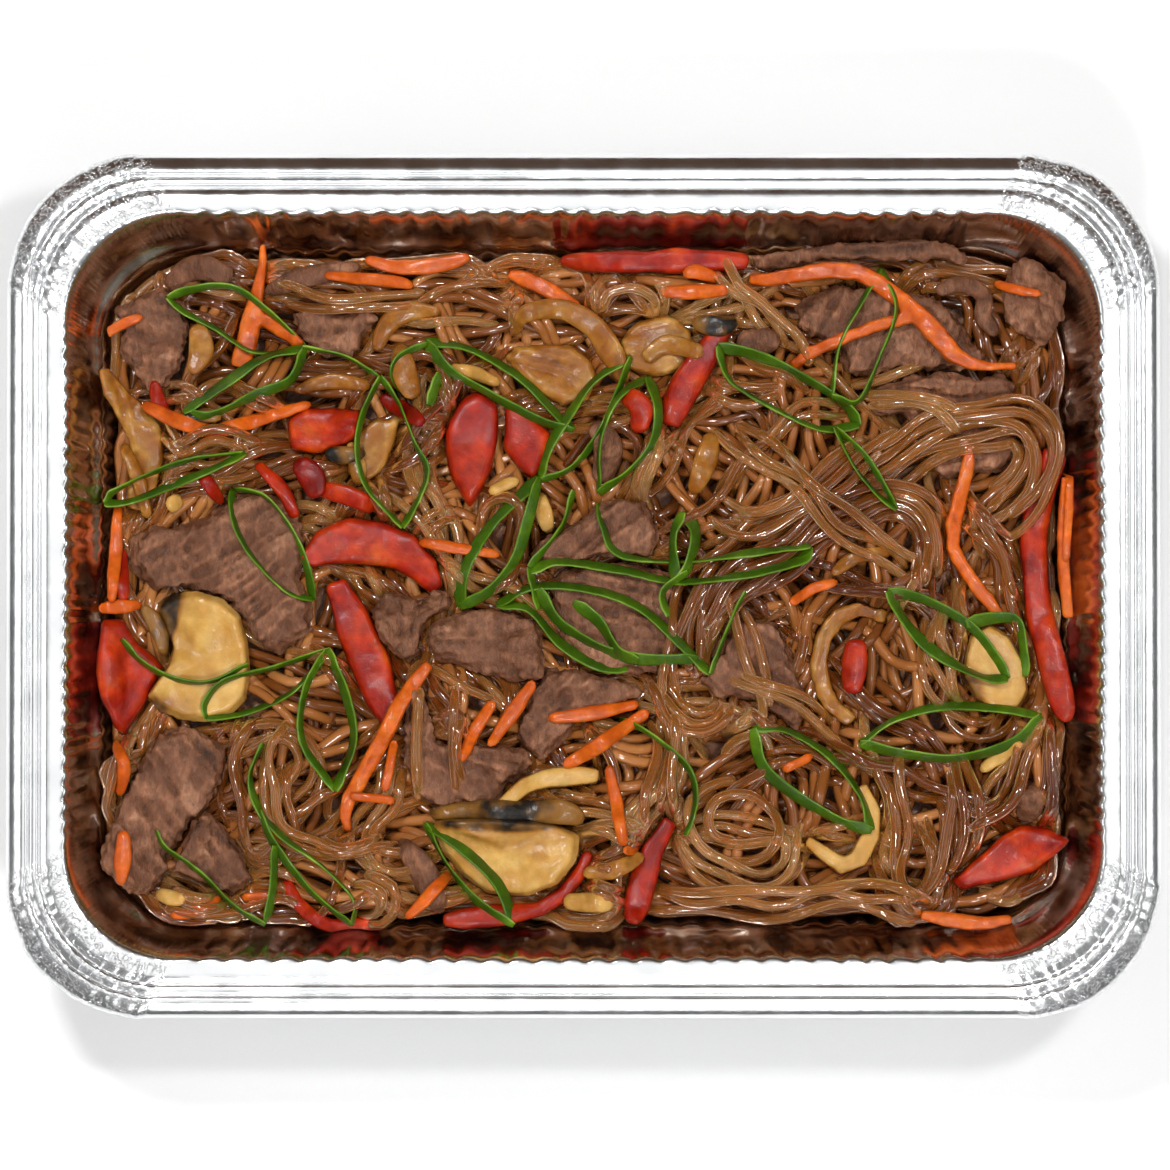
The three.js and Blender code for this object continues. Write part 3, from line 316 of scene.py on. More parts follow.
def buildTray():
    sx, sy, angle, isCorner, kind, along = trayFlow().T
    kind = kind.astype(int)
    count = len(kind)
    outX, outY = np.cos(angle), np.sin(angle)
    turn = np.arange(count) / count * 2 * math.pi
    ring = np.stack([np.cos(turn) * 60, np.sin(turn) * 60, np.zeros(count)], axis=1)
    wave = wallWave(kind, along, ring)
    # crimps on the rim: fine and uneven round the corners, none on the sides
    arc = tray["corner"] * math.pi / 2
    crimped = np.clip(isCorner * (np.minimum(along, arc - along) / tray["crimpFade"] + 0.25), 0, 1)
    loops, crumple, stain = [], [], []
    for row, (inset, z, fluteShare, crimpShare) in enumerate(tray["section"] + tray["underside"]):
        onTop = row < len(tray["section"])
        reachX = max(tray["length"] / 2 - inset, 6.0)
        reachY = max(tray["width"] / 2 - inset, 3.5)
        radius = min(max(tray["corner"] - tray["cornerPerInset"] * inset, 3.0), reachX, reachY)
        x = sx * (reachX - radius) + outX * (radius + fluteShare * wave)
        y = sy * (reachY - radius) + outY * (radius + fluteShare * wave)
        spot = np.stack([x, y, np.full(count, float(z))], axis=1)
        unrolled = np.stack([along + 40 * kind, np.full(count, inset), np.zeros(count)], axis=1)
        radial = lumps(unrolled, (1.1, 3.0, 1), 8) + 0.6 * lumps(unrolled, (0.8, 2.0, 1), 9)
        marks = np.clip(radial * 2.4, -1, 1)   # flat between the marks, steep at them
        rumple = lumps(spot, 2.2, 11) * 0.5 + lumps(spot, 1.1, 12) * 0.5
        buckle = crimped * (tray["crimpDepth"] * marks + tray["rumpleDepth"] * rumple)
        spot[:, 2] += crimpShare * (buckle + tray["rimWave"] * lumps(spot, (9, 9, 3), 13)
                                    + tray["rimGrain"] * lumps(spot, (2.4, 1.2, 1.2), 14))
        outward = np.zeros(count)
        if fluteShare > 0.3:
            outward += tray["wallBulge"] * lumps(spot, (24, 24, 60), 15)
        if z < 1 and onTop:
            dents = tray["floorWave"] * lumps(spot, 9, 17) + tray["floorGrain"] * lumps(spot, 3, 18)
            spot[:, 2] = np.maximum(z + dents, 0.35)
        if inset < tray["bead"] and onTop:     # the bead is fatter and buckled at the corners
            outward += crimped * (tray["beadSwell"] + tray["beadCrimp"] * lumps(unrolled, (1.7, 4, 1), 21)
                                  + tray["beadBuckle"] * lumps(spot, 6, 22))
        spot[:, 0] += outX * outward
        spot[:, 1] += outY * outward
        loops.append(spot)
        crumple.append(crimped if onTop and inset < 11 else 0 * crimped)
        film = min(max((z - tray["cleanBelow"]) / 4, 0), 1) * min(max((tray["cleanAbove"] - z) / 1.5, 0), 1)
        stain.append(np.full(count, film if onTop and inset > tray["wallEdge"] else 0.0))
    points = np.vstack(loops + [[[0, 0, 0.9], [0, 0, 0.05]]])
    r, c = np.meshgrid(np.arange(len(loops) - 1), np.arange(count), indexing="ij")
    a, b = r * count + c, r * count + (c + 1) % count
    faces = np.stack([a, b, b + count, a + count], axis=2).reshape(-1, 4).tolist()
    middle, last = len(loops) * count, (len(loops) - 1) * count
    for i in range(count):
        j = (i + 1) % count
        faces.append([middle, j, i])
        faces.append([middle + 1, last + i, last + j])
    ends = np.zeros(2)
    makePiece("foil_tray_fluted", points, faces, foilMaterial(), "foil", ["foil_tray"],
              tone=np.concatenate(stain + [ends]), crumple=np.concatenate(crumple + [ends]))


def foilMaterial():
    material, tree, shader = startMaterial("brightFoil", 0.2, Metallic=1.0)
    tint = ramp(tree, speckle(tree, 14, 1.0), [(0.3, (232, 234, 235)), (0.7, (248, 249, 250))])
    smear = speckle(tree, 6, 3.0)
    film = ramp(tree, smear, [(0.3, (150, 118, 94)), (0.62, (226, 214, 202))])
    colour = blendColours(tree, read(tree, "tone"), tint, film)   # sauce smeared on the inner wall
    tree.links.new(colour, shader.inputs["Base Color"])
    gloss = ramp(tree, smear, [(0.3, 0.13), (0.7, 0.24)])
    tree.links.new(gloss, shader.inputs["Roughness"])
    specks = ramp(tree, speckle(tree, 0.8, 2.0, 0.65), [(0.52, 0), (0.58, 1)])
    creases = relief(tree, shader, specks, 0.11, None, read(tree, "crumple"))
    relief(tree, shader, speckle(tree, 2.4, 2.0), 0.04, creases)
    return material


print("foil tray")
buildTray()


# Height maps of what lies in the tray, seen from above

cell = 0.5
halfX, halfY = 115.5, 86.5
columns, rows = int(2 * halfX / cell) + 1, int(2 * halfY / cell) + 1
ground = np.full((rows, columns), 0.0)       # top of what lies there so far
ceiling = np.full((rows, columns), 99.0)     # underside of the toppings


def cellOf(x, y):
    i = np.clip(((np.asarray(x) + halfX) / cell).astype(int), 0, columns - 1)
    j = np.clip(((np.asarray(y) + halfY) / cell).astype(int), 0, rows - 1)
    return j, i


def stamp(grid, points, pick, spread=0):  # pick: np.maximum raises a map to the points, np.minimum lowers it
    j, i = cellOf(points[:, 0], points[:, 1])
    for dj in range(-spread, spread + 1):
        for di in range(-spread, spread + 1):
            pick.at(grid, (np.clip(j + dj, 0, rows - 1), np.clip(i + di, 0, columns - 1)), points[:, 2])


def raiseGround(points):
    stamp(ground, points, np.maximum)


# Toppings: each is its solid made soft, then given its own grain, with painted shade in its hollows

looks = {
    "beef": {
        "voxel": 0.5, "smooth": 2, "inflate": 0.05, "lump": 2.6, "lumpDepth": 0.5, "fibre": 0.9,
        "fibreLength": 7.0, "fibreDepth": 0.5, "fine": 0.8, "fineDepth": 0.34, "sway": 0.5,
        "roughness": 0.6, "wet": 0.2, "coatRoughness": 0.12, "flesh": (0.12, 1.0, (1.0, 0.4, 0.25)),
        "mottle": 1.2, "contrast": 0.42, "patch": 6.0, "patchShare": 0.6,
        "patchColour": (92, 54, 34), "grain": 1.2, "grainDepth": 0.748, "stretch": (1, 0.45, 1),
        "tones": [(0.1, (44, 24, 13)), (0.4, (108, 68, 45)), (0.7, (146, 99, 72)),
                  (1.0, (178, 132, 102))],
    },
    "pepper": {
        "voxel": 0.5, "smooth": 12, "inflate": 0.3, "lump": 5.0, "lumpDepth": 0.3, "fibre": 2.0,
        "fibreLength": 6.0, "fibreDepth": 0.07, "fine": 1.2, "fineDepth": 0.05, "sway": 0.3,
        "roughness": 0.36, "wet": 0.24, "coatRoughness": 0.05,
        "mottle": 3.2, "contrast": 0.3, "patch": 5.0, "patchShare": 0.6,
        "patchColour": (120, 14, 3), "grain": 1.05, "grainDepth": 0.132,
        "tones": [(0.1, (96, 8, 1)), (0.4, (152, 26, 2)), (0.7, (182, 50, 3)),
                  (1.0, (202, 88, 16))],
    },
    "carrot": {
        "voxel": 0.42, "smooth": 3, "inflate": 0.08, "lump": 2.4, "lumpDepth": 0.16, "fibre": 1.0,
        "fibreLength": 6.0, "fibreDepth": 0.1, "fine": 0.9, "fineDepth": 0.06, "sway": 0.2,
        "roughness": 0.45, "wet": 0.4, "coatRoughness": 0.08,
        "mottle": 1.6, "contrast": 0.24, "patch": 5.0, "patchShare": 0.4,
        "patchColour": (176, 72, 8), "grain": 1.5, "grainDepth": 0.154,
        "tones": [(0.1, (156, 58, 6)), (0.5, (200, 86, 10)), (1.0, (222, 118, 32))],
    },
    "onion": {
        "voxel": 0.45, "smooth": 3, "inflate": 0.05, "lump": 4.0, "lumpDepth": 0.25, "fibre": 1.2,
        "fibreLength": 16.0, "fibreDepth": 0.3, "fine": 1.0, "fineDepth": 0.05, "sway": 0.4,
        "roughness": 0.32, "wet": 0.4, "coatRoughness": 0.08, "flesh": (0.3, 1.8, (1.0, 0.55, 0.2)),
        "mottle": 2.4, "contrast": 0.3, "patch": 5.0, "patchShare": 0.6,
        "patchColour": (140, 78, 18), "grain": 1.8, "grainDepth": 0.176,
        "tones": [(0.1, (92, 48, 10)), (0.4, (142, 86, 24)), (0.7, (172, 122, 50)),
                  (1.0, (200, 160, 92))],
    },
    "mushroom": {
        "voxel": 0.5, "smooth": 4, "inflate": 0.05, "lump": 5.0, "lumpDepth": 0.1, "fibre": 1.5,
        "fibreLength": 4.0, "fibreDepth": 0.05, "fine": 1.0, "fineDepth": 0.06, "sway": 0.2,
        "roughness": 0.4, "wet": 0.42, "coatRoughness": 0.08, "flesh": (0.15, 1.2, (1.0, 0.6, 0.3)),
        "mottle": 2.4, "contrast": 0.14, "patch": 7.0, "patchShare": 0.5,
        "patchColour": (178, 120, 44), "grain": 1.5, "grainDepth": 0.198,
        "tones": [(0.0, (30, 24, 18)), (0.22, (66, 46, 24)), (0.42, (150, 98, 36)),
                  (0.7, (196, 150, 74)), (1.0, (220, 186, 116))],
    },
    "scallion": {
        "roughness": 0.4, "wet": 0.3, "coatRoughness": 0.1,
        "mottle": 2.2, "contrast": 0.26, "patch": 4.0, "patchShare": 0.4,
        "patchColour": (38, 78, 8), "grain": 1.2, "grainDepth": 0.176, "stretch": (1, 1, 0.3),
        "tones": [(0.1, (34, 58, 3)), (0.45, (68, 100, 8)), (0.75, (98, 134, 18)),
                  (1.0, (150, 176, 74))],
    },
}
materials = {kind: foodMaterial(kind + "Flesh", look) for kind, look in looks.items()}


def softCopy(node, look):  # dense smooth points, faces and normals of a node's solid, in mm
    work = bpy.data.objects.new("work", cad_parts[node].data.copy())
    bpy.context.scene.collection.objects.link(work)
    remesh = work.modifiers.new("remesh", "REMESH")
    remesh.mode = "VOXEL"
    remesh.voxel_size = look["voxel"] * mm
    smooth = work.modifiers.new("smooth", "SMOOTH")
    smooth.factor = 0.6
    smooth.iterations = look["smooth"]
    bpy.context.view_layer.update()
    mesh = bpy.data.meshes.new_from_object(work.evaluated_get(bpy.context.evaluated_depsgraph_get()))
    points = np.zeros(len(mesh.vertices) * 3)
    normals = np.zeros(len(mesh.vertices) * 3)
    mesh.vertices.foreach_get("co", points)
    mesh.vertices.foreach_get("normal", normals)
    faces = [list(p.vertices) for p in mesh.polygons]
    bpy.data.objects.remove(work)
    return points.reshape(-1, 3) / mm, normals.reshape(-1, 3), faces


def mainDirection(points):  # the long way of a piece, seen from above
    flat = points[:, :2] - points[:, :2].mean(axis=0)
    values, vectors = np.linalg.eigh(flat.T @ flat)
    return vectors[:, 1]


def dress(points, normals, kind, seed, grainTurn):  # relief and tone of a piece of food; the tone follows the relief, so hollows get painted shade
    look = looks[kind]
    direction = mainDirection(points)
    turn = math.atan2(direction[1], direction[0]) + grainTurn
    c, s = math.cos(turn), math.sin(turn)
    along = points[:, 0] * c + points[:, 1] * s
    across = -points[:, 0] * s + points[:, 1] * c + 1.6 * lumps(points, 11.0, seed + 5)
    grain = (look["fibreLength"], look["fibre"], look["fibre"] * 2)
    lump = lumps(points, look["lump"], seed)
    fibre = lumps(np.stack([along, across, points[:, 2]], axis=1), grain, seed + 1)
    fine = lumps(points, look["fine"], seed + 2)
    push = look["inflate"] + look["lumpDepth"] * lump + look["fibreDepth"] * fibre + look["fineDepth"] * fine
    moved = points + normals * push[:, None]
    moved[:, 2] += look["sway"] * (lumps(points * (1, 1, 0), 12.0, seed + 3) + 0.3)
    # tone from the relief's own noises: grain in the colour, and painted shade where the surface sinks in
    tone = 0.52 + 0.2 * lump + 0.24 * fibre + 0.12 * fine + 0.12 * lumps(points, 9.0, seed + 7)
    return moved, tone


# Turn of the grain from the piece's long way, in radians
grainTurns = {"beef_left_large": 0.9, "beef_back_large": 1.3, "beef_lower_left": 1.2, "beef_centre_top": 0.4,
              "beef_middle": 0.2, "beef_corner": 1.2, "beef_right_back": 0.3, "beef_centre_slab": 0.2}


def insideEllipse(points, x, y, rx, ry, turn, soft):  # 1 inside, 0 outside, soft edge
    c, s = math.cos(turn), math.sin(turn)
    u = ((points[:, 0] - x) * c + (points[:, 1] - y) * s) / rx
    v = (-(points[:, 0] - x) * s + (points[:, 1] - y) * c) / ry
    return np.clip((1 + soft - np.hypot(u, v)) / (2 * soft), 0, 1)


gills = {                                  # dark gills: ellipses by centre, radii and turn, dark share
    "mushroom_left": [(-85.5, -7.0, 3.2, 9.5, -0.35, 0.8), (-88.0, -25.0, 5.0, 2.6, 0.4, 0.3),
                      (-84.0, -10.0, 4.5, 11.0, -0.35, 0.14), (-85.0, -26.0, 7.0, 4.0, 0.3, 0.12)],
    "mushroom_lower": [(-15.5, -46.0, 16.0, 2.8, 0.0, 0.9), (-15.5, -47.0, 18.0, 6.5, 0.0, 0.16)],
    "mushroom_right": [(78.5, -22.0, 2.4, 6.0, 0.2, 0.4)],
}


def layTopping(node, seed):
    kind = node.split("_")[0]
    points, normals, faces = softCopy(node, looks[kind])
    points, tone = dress(points, normals, kind, seed, grainTurns.get(node, 0.0))
    if kind == "mushroom":
        tone = 0.74 + 0.32 * (tone - 0.5) - 0.1 * np.clip(3 * lumps(points, 5.0, seed + 8) - 0.6, 0, 1)
        tone = np.where(normals[:, 2] < 0.35, tone - 0.22, tone)
        for x, y, rx, ry, turn, dark in gills.get(node, []):
            streaks = 1 + 0.25 * lumps(points, (0.9, 3.0, 3.0), seed + 9)
            tone = tone - dark * streaks * insideEllipse(points, x, y, rx, ry, turn, 0.3)
    if kind in ("pepper", "onion"):        # darker at the sides
        tone = np.where(normals[:, 2] < 0.3, tone - 0.25, tone)
    makePiece(node + "_cooked", points, faces, materials[kind], kind, [node], tone=np.clip(tone, 0, 1))
    raiseGround(points[normals[:, 2] > -0.2])
    stamp(ceiling, points, np.minimum, 2)


toppings = [node for node in sorted(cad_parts) if node.split("_")[0] in set(looks) - {"scallion"}]
for number, node in enumerate(toppings):
    layTopping(node, 31 + 17 * number)
toppingTop = ground.copy()
ground[:] = 0
print("toppings", len(toppings))


# Core of the heap, hidden under the strands: dark with sauce, and with painted shade for the gaps between
# strands

heap = {
    "inset": 18.4, "wallSlope": 0.217, "wallTop": 27.6, "gap": 1.0,
    "coreTop": 20.4, "coreEdge": 19.4, "unevenness": 1.0,
    "foot": 2.2, "footIn": 1.2, "under": 1.5, "underInset": 28.5,
    "rings": 60, "around": 260,
    "lowerEdge": 20.6, "upperEdge": 17.9,  # inset of the strands' outer limit; the upper ones reach the ledge
    "top": 26.3, "topSwing": 1.4, "topEdge": 25.0, "wallRoom": 0.5,
}
wall = np.array(tray["section"])[4:21]     # the inner wall from the floor up: inset, height and shares
edgeInset = heap["lowerEdge"]


def wallInset(z):  # the plain wall's inset at a height, with a gap for its flutes
    return heap["inset"] + (heap["wallTop"] - z) * heap["wallSlope"] + heap["gap"]


def insetOf(x, y):  # how far in from the rim's outline a place is; the corners' arcs shrink inwards
    inset = np.full(np.shape(x), 18.0)
    for _ in range(3):
        radius = tray["corner"] - tray["cornerPerInset"] * np.clip(inset, 0, 50)
        dx = np.abs(x) - (tray["length"] / 2 - inset - radius)
        dy = np.abs(y) - (tray["width"] / 2 - inset - radius)
        inside = np.where((dx > 0) & (dy > 0), radius - np.hypot(np.maximum(dx, 0), np.maximum(dy, 0)),
                          radius - np.maximum(dx, dy))
        inset = inset + inside
    return inset


def clearWall(line, radius):  # moves a path inwards until a strand of that radius clears the fluted wall
    line = line.copy()
    for _ in range(3):
        x, y, z = line.T
        need = np.interp(z - 0.5 * radius, wall[:, 1], wall[:, 0]) + 1.05 * radius + heap["wallRoom"]
        short = np.maximum(need - insetOf(x, y), 0)
        gx = insetOf(x + 0.5, y) - insetOf(x - 0.5, y)
        gy = insetOf(x, y + 0.5) - insetOf(x, y - 0.5)
        size = np.maximum(np.hypot(gx, gy), 1e-6)
        line = np.column_stack([x + gx / size * short, y + gy / size * short, z])
    return line


def roundedLoop(inset, count):  # evenly spaced places round the tray, that far in from its rim
    radius = tray["corner"] - tray["cornerPerInset"] * inset
    hx, hy = tray["length"] / 2 - inset, tray["width"] / 2 - inset
    lengthX, lengthY, arc = 2 * (hx - radius), 2 * (hy - radius), radius * math.pi / 2
    sides = ((lengthY, 1, 0), (lengthX, 0, 1), (lengthY, -1, 0), (lengthX, 0, -1))
    spots = []
    for s in np.arange(count) / count * (2 * lengthX + 2 * lengthY + 4 * arc):
        for number, (length, sx, sy) in enumerate(sides):
            if s <= length:
                t = s - length / 2
                spots.append((sx * hx - sy * t, sy * hy + sx * t))
                break
            s -= length
            if s <= arc:
                angle = (number + s / arc) * math.pi / 2
                cx = (hx - radius) * (1 if number in (0, 3) else -1)
                cy = (hy - radius) * (1 if number in (0, 1) else -1)
                spots.append((cx + radius * math.cos(angle), cy + radius * math.sin(angle)))
                break
            s -= arc
        else:
            spots.append((hx, -lengthY / 2))
    return np.array(spots)


def coreRise(spots):  # uneven height of the core's top above its own level
    return heap["unevenness"] * (lumps(spots, 9, 61) + 0.5 * lumps(spots, 3, 62))


def buildCore():
    count = heap["around"]
    edge = roundedLoop(wallInset(heap["coreEdge"]), count)
    foot = roundedLoop(wallInset(heap["foot"]) + heap["footIn"], count)
    under = roundedLoop(heap["underInset"], count)
    loops = []
    for r in range(1, heap["rings"] + 1):
        share = r / heap["rings"]
        spot = np.column_stack([edge * share, np.zeros(count)])
        level = heap["coreTop"] + (heap["coreEdge"] - heap["coreTop"]) * share ** 3
        spot[:, 2] = level + coreRise(spot) * (1 - share ** 8)
        loops.append(spot)
    loops.append(np.column_stack([foot, np.full(count, heap["foot"])]))
    loops.append(np.column_stack([under, np.full(count, heap["under"])]))
    points = np.vstack([[[0, 0, heap["coreTop"]]]] + loops + [[[0, 0, heap["under"]]]])
    faces = []
    last = 1 + (len(loops) - 1) * count
    for i in range(count):
        j = (i + 1) % count
        faces.append([0, 1 + i, 1 + j])
        for start in range(1, last, count):
            faces.append([start + i, start + count + i, start + count + j, start + j])
        faces.append([last + i, len(points) - 1, last + j])
    material, tree, shader = startMaterial("darkSauceAndShade", 0.5, Coat_Weight=0.12, Coat_Roughness=0.15)
    # brown of sauce, kept dark as painted shade that shows through the gaps between strands
    colour = ramp(tree, speckle(tree, 5, 3.0), [(0.35, (104, 58, 26)), (0.7, (150, 92, 44))])
    tree.links.new(colour, shader.inputs["Base Color"])
    relief(tree, shader, speckle(tree, 2.0, 3.0), 0.5)
    makePiece("noodle_core", points, faces, material, "noodle", ["noodles"])


def groundOfCore():  # the ground that the strands sink on to: the core's top, and the tray's wall round it
    xs, ys = np.meshgrid(np.arange(columns) * cell - halfX, np.arange(rows) * cell - halfY)
    spots = np.column_stack([xs.ravel(), ys.ravel(), np.zeros(xs.size)])
    wallHeight = np.interp(-insetOf(spots[:, 0], spots[:, 1]), -wall[:, 0], wall[:, 1])
    return np.maximum(heap["coreTop"] + coreRise(spots), wallHeight).reshape(rows, columns)


buildCore()
ground[:] = groundOfCore()


# Noodles: each strand is a path seen from above that sinks on to what lies under it

noodle = {
    "radius": 1.1, "swell": 0.072, "swellWave": 0.21, "endShare": 0.55,
    "lowerDetail": (6, 1.8), "upperDetail": (8, 1.35),        # sides, and distance between cross sections
    "lowerStrands": 250, "upperStrands": 130, "lowerAlongWall": 26, "upperAlongWall": 22, "tries": 7,
    "lowerLengths": (50, 150), "upperLengths": (45, 110), "wallLengths": (28, 85),
    "lowerBend": 0.045, "upperBend": 0.06, "startWithin": (94, 65), "shortest": 20, "shortestRun": 14,
    "pitch": 2.15, "sweepPitch": 2.2, "stray": 0.3, "strayWaves": (16, 34), "stagger": 6,
    "wallDrift": 1.6, "wallWaves": (9, 20), "turnIn": 5, "turnInLength": 10,
    "tones": (0.15, 0.95), "sweepTones": (0.4, 0.9), "toneShift": 0.12, "toneSwing": 0.3,
}
course = {                                 # how a free strand runs
    "waves": [((9, 16), 0.3), ((22, 45), 0.5)],    # length of each bend, and its least share
    "hookShare": 0.45, "hookTurn": (0.1, 0.2), "hookLength": (8, 22),
    "wallReach": 9, "wallTurn": 0.26, "ahead": 3, "glance": 0.5, "margin": 1.3,
}
settle = {                                 # how a strand settles on what lies under it
    "sink": 0.3, "dive": 2.6, "diveLength": 7, "offset": 0.75, "sideShare": 0.6,
    "underGap": 0.15, "rounds": 14, "slack": 0.12,
}


def insideHeap(x, y, margin):  # distance in mm to the heap's edge, positive inside
    inset = edgeInset - 1.0 + margin
    radius = tray["corner"] - tray["cornerPerInset"] * inset
    dx = abs(x) - (tray["length"] / 2 - inset - radius)
    dy = abs(y) - (tray["width"] / 2 - inset - radius)
    if dx > 0 and dy > 0:
        return radius - math.hypot(dx, dy)
    return radius - max(dx, dy)


def wander(x, y, heading, length, bend):  # free-running path that turns along the wall
    waves = [(dice.uniform(*span), dice.uniform(0, 6.3), dice.uniform(least, 1))
             for span, least in course["waves"]]
    hookAt = dice.uniform(0.1, 0.9) * length
    hookTurn = dice.choice((-1, 1)) * dice.uniform(*course["hookTurn"])
    hookLength = dice.uniform(*course["hookLength"]) if dice.random() < course["hookShare"] else 0
    margin, reach = course["margin"], course["wallReach"]

    def roomAhead(angle):
        ahead = course["ahead"]
        return insideHeap(x + ahead * math.cos(angle), y + ahead * math.sin(angle), margin)

    path = []
    for s in range(int(length)):
        turn = sum(size * math.sin(2 * math.pi * s / wave + shift) for wave, shift, size in waves) * bend
        if hookAt < s < hookAt + hookLength:
            turn = hookTurn
        here = insideHeap(x, y, margin)
        if here < reach and roomAhead(heading) < here:
            leftRoom, rightRoom = roomAhead(heading + course["glance"]), roomAhead(heading - course["glance"])
            away = course["wallTurn"] if leftRoom > rightRoom else -course["wallTurn"]
            turn = away * (1 - max(here, 0) / reach) + turn * 0.3
        heading += turn
        x += math.cos(heading)
        y += math.sin(heading)
        if insideHeap(x, y, 1.0) < 0:
            break
        path.append((x, y))
    return np.array(path)


def keepInside(line):  # moves places that lie outside the heap's edge back in
    out = line.copy()
    for k, (x, y) in enumerate(line[:, :2]):
        short = 0.2 - insideHeap(x, y, 1.2)
        if short > 0:
            gx = insideHeap(x + 0.5, y, 1.2) - insideHeap(x - 0.5, y, 1.2)
            gy = insideHeap(x, y + 0.5, 1.2) - insideHeap(x, y - 0.5, 1.2)
            size = math.hypot(gx, gy) or 1
            out[k] += np.array([gx, gy]) / size * short
    return out


def lay(line, radius, over, dive=settle["dive"], sink=settle["sink"]):  # path gets its heights
    side = sideways(line)
    j, i = cellOf(line[:, 0], line[:, 1])
    base = np.maximum(ground, toppingTop) if over else ground
    need = base[j, i] + radius
    for offset in (-settle["offset"] * radius, settle["offset"] * radius):
        jj, ii = cellOf(line[:, 0] + side[:, 0] * offset, line[:, 1] + side[:, 1] * offset)
        need = np.maximum(need, base[jj, ii] + settle["sideShare"] * radius)
    need = need - sink - dive * np.clip(1 - fromEnds(len(line)) / settle["diveLength"], 0, 1) ** 1.5
    cap = np.full(len(line), 99.0) if over else ceiling[j, i] - radius - settle["underGap"]
    z = np.minimum(need, cap)
    for _ in range(settle["rounds"]):
        z[1:-1] = 0.4 * z[1:-1] + 0.3 * (z[:-2] + z[2:])
        z = np.minimum(np.maximum(z, need - settle["slack"]), cap)
    z = np.minimum(softened(z, 3), cap + 0.5)
    return clearWall(np.column_stack([line[:, 0], line[:, 1], z]), radius)


def press(line, radius):  # the strand becomes part of the ground
    side = sideways(line)
    whole = np.vstack([line, (line[1:] + line[:-1]) / 2])
    sides = np.vstack([side, (side[1:] + side[:-1]) / 2])
    for u in (-0.95, -0.6, -0.25, 0.25, 0.6, 0.95):
        spots = whole.copy()
        spots[:, :2] += sides * (u * radius)
        spots[:, 2] += radius * math.sqrt(1 - u * u)
        raiseGround(spots)


def tube(line, radius, sides, spacing):  # points and faces of a round strand, closed at its ends
    count = max(4, int(len(line) / spacing))
    at = np.linspace(0, len(line) - 1, count)
    base = np.arange(len(line))
    p = np.stack([np.interp(at, base, line[:, k]) for k in range(3)], axis=1)
    along = np.gradient(p, axis=0)
    along /= np.linalg.norm(along, axis=1)[:, None]
    side = np.stack([-along[:, 1], along[:, 0], np.zeros(count)], axis=1)
    side /= np.maximum(np.linalg.norm(side, axis=1), 1e-6)[:, None]
    up = np.cross(along, side)
    size = radius * (1 + noodle["swell"] * np.sin(at * noodle["swellWave"] + radius * 50))
    size[[0, -1]] *= noodle["endShare"]
    angles = np.arange(sides) / sides * 2 * math.pi
    ring = (p[:, None, :] + side[:, None, :] * (np.cos(angles)[None, :, None] * size[:, None, None])
            + up[:, None, :] * (np.sin(angles)[None, :, None] * size[:, None, None]))
    return ring.reshape(-1, 3), tubeFaces(count, sides)


class Bunch:  # many strands joined into one mesh
    def __init__(self):
        self.points, self.faces, self.tones, self.count = [], [], [], 0

    def add(self, points, faces, tone):
        self.points.append(points)
        self.faces += [[v + self.count for v in face] for face in faces]
        self.tones.append(tone)
        self.count += len(points)

    def finish(self, name, material, slot, replaced):
        makePiece(name, np.vstack(self.points), self.faces, material, slot, replaced,
                  tone=np.clip(np.concatenate(self.tones), 0, 1))


def openness(path):  # how much room is left under the heap's top along a path
    spots = np.column_stack([path, np.zeros(len(path))])
    j, i = cellOf(path[:, 0], path[:, 1])
    edge = np.array([insideHeap(x, y, 1.0) for x, y in path])
    target = heap["top"] + heap["topSwing"] * lumps(spots, 14, 71)
    target = target - (heap["top"] - heap["topEdge"]) * np.clip(1 - edge / 14, 0, 1)
    covered = (toppingTop[j, i] > 0) * (ceiling[j, i] < 25.5)
    return target - ground[j, i] - 1.6 * noodle["radius"] - 6.0 * covered


def parallels(line, count, spread, wobble):  # strands that run together, side by side
    side = sideways(line)
    runs = []
    for k in range(count):
        shift = (k - (count - 1) / 2) * spread + dice.uniform(-noodle["stray"], noodle["stray"])
        phase, wave = dice.uniform(0, 6.3), dice.uniform(*noodle["strayWaves"])
        drift = shift + wobble * np.sin(np.arange(len(line)) / wave * 2 * math.pi + phase)
        start, end = dice.randint(0, noodle["stagger"]), len(line) - dice.randint(0, noodle["stagger"])
        run = line + side * drift[:, None]
        runs.append(keepInside(run[start:end]))
    return runs


def addStrand(bunch, path, over, detail, swing, tone=None):  # tone: its bundle's, or its own where None
    radius = noodle["radius"] + dice.uniform(*swing)
    line = lay(path, radius, over)
    press(line, radius)
    shift = noodle["toneShift"]
    tone = dice.uniform(*noodle["tones"]) if tone is None else tone + dice.uniform(-shift, shift)
    points, faces = tube(line, radius, *detail)
    bunch.add(points, faces, tone + noodle["toneSwing"] * lumps(points, 16.0, 91))


def edgeStrands(bunch, wanted, inset, detail):  # runs that follow the wall, at that inset and a little more
    places = 700
    for _ in range(wanted):
        loop = roundedLoop(inset + dice.uniform(0, 3.5), places)
        start, length = dice.randint(0, places - 1), dice.randint(*noodle["wallLengths"])
        path = loop[(start + np.arange(length)) % places]
        wave, shift = dice.uniform(*noodle["wallWaves"]), dice.uniform(0, 6)
        drift = np.abs(noodle["wallDrift"] * np.sin(np.arange(length) / wave + shift))
        ends = np.clip(1 - fromEnds(length) / noodle["turnInLength"], 0, 1)
        drift = drift + noodle["turnIn"] * ends ** 2
        run = smoothLine(path + sideways(path) * drift[:, None], 1.0)
        addStrand(bunch, run, False, detail, (-0.1, 0.12))


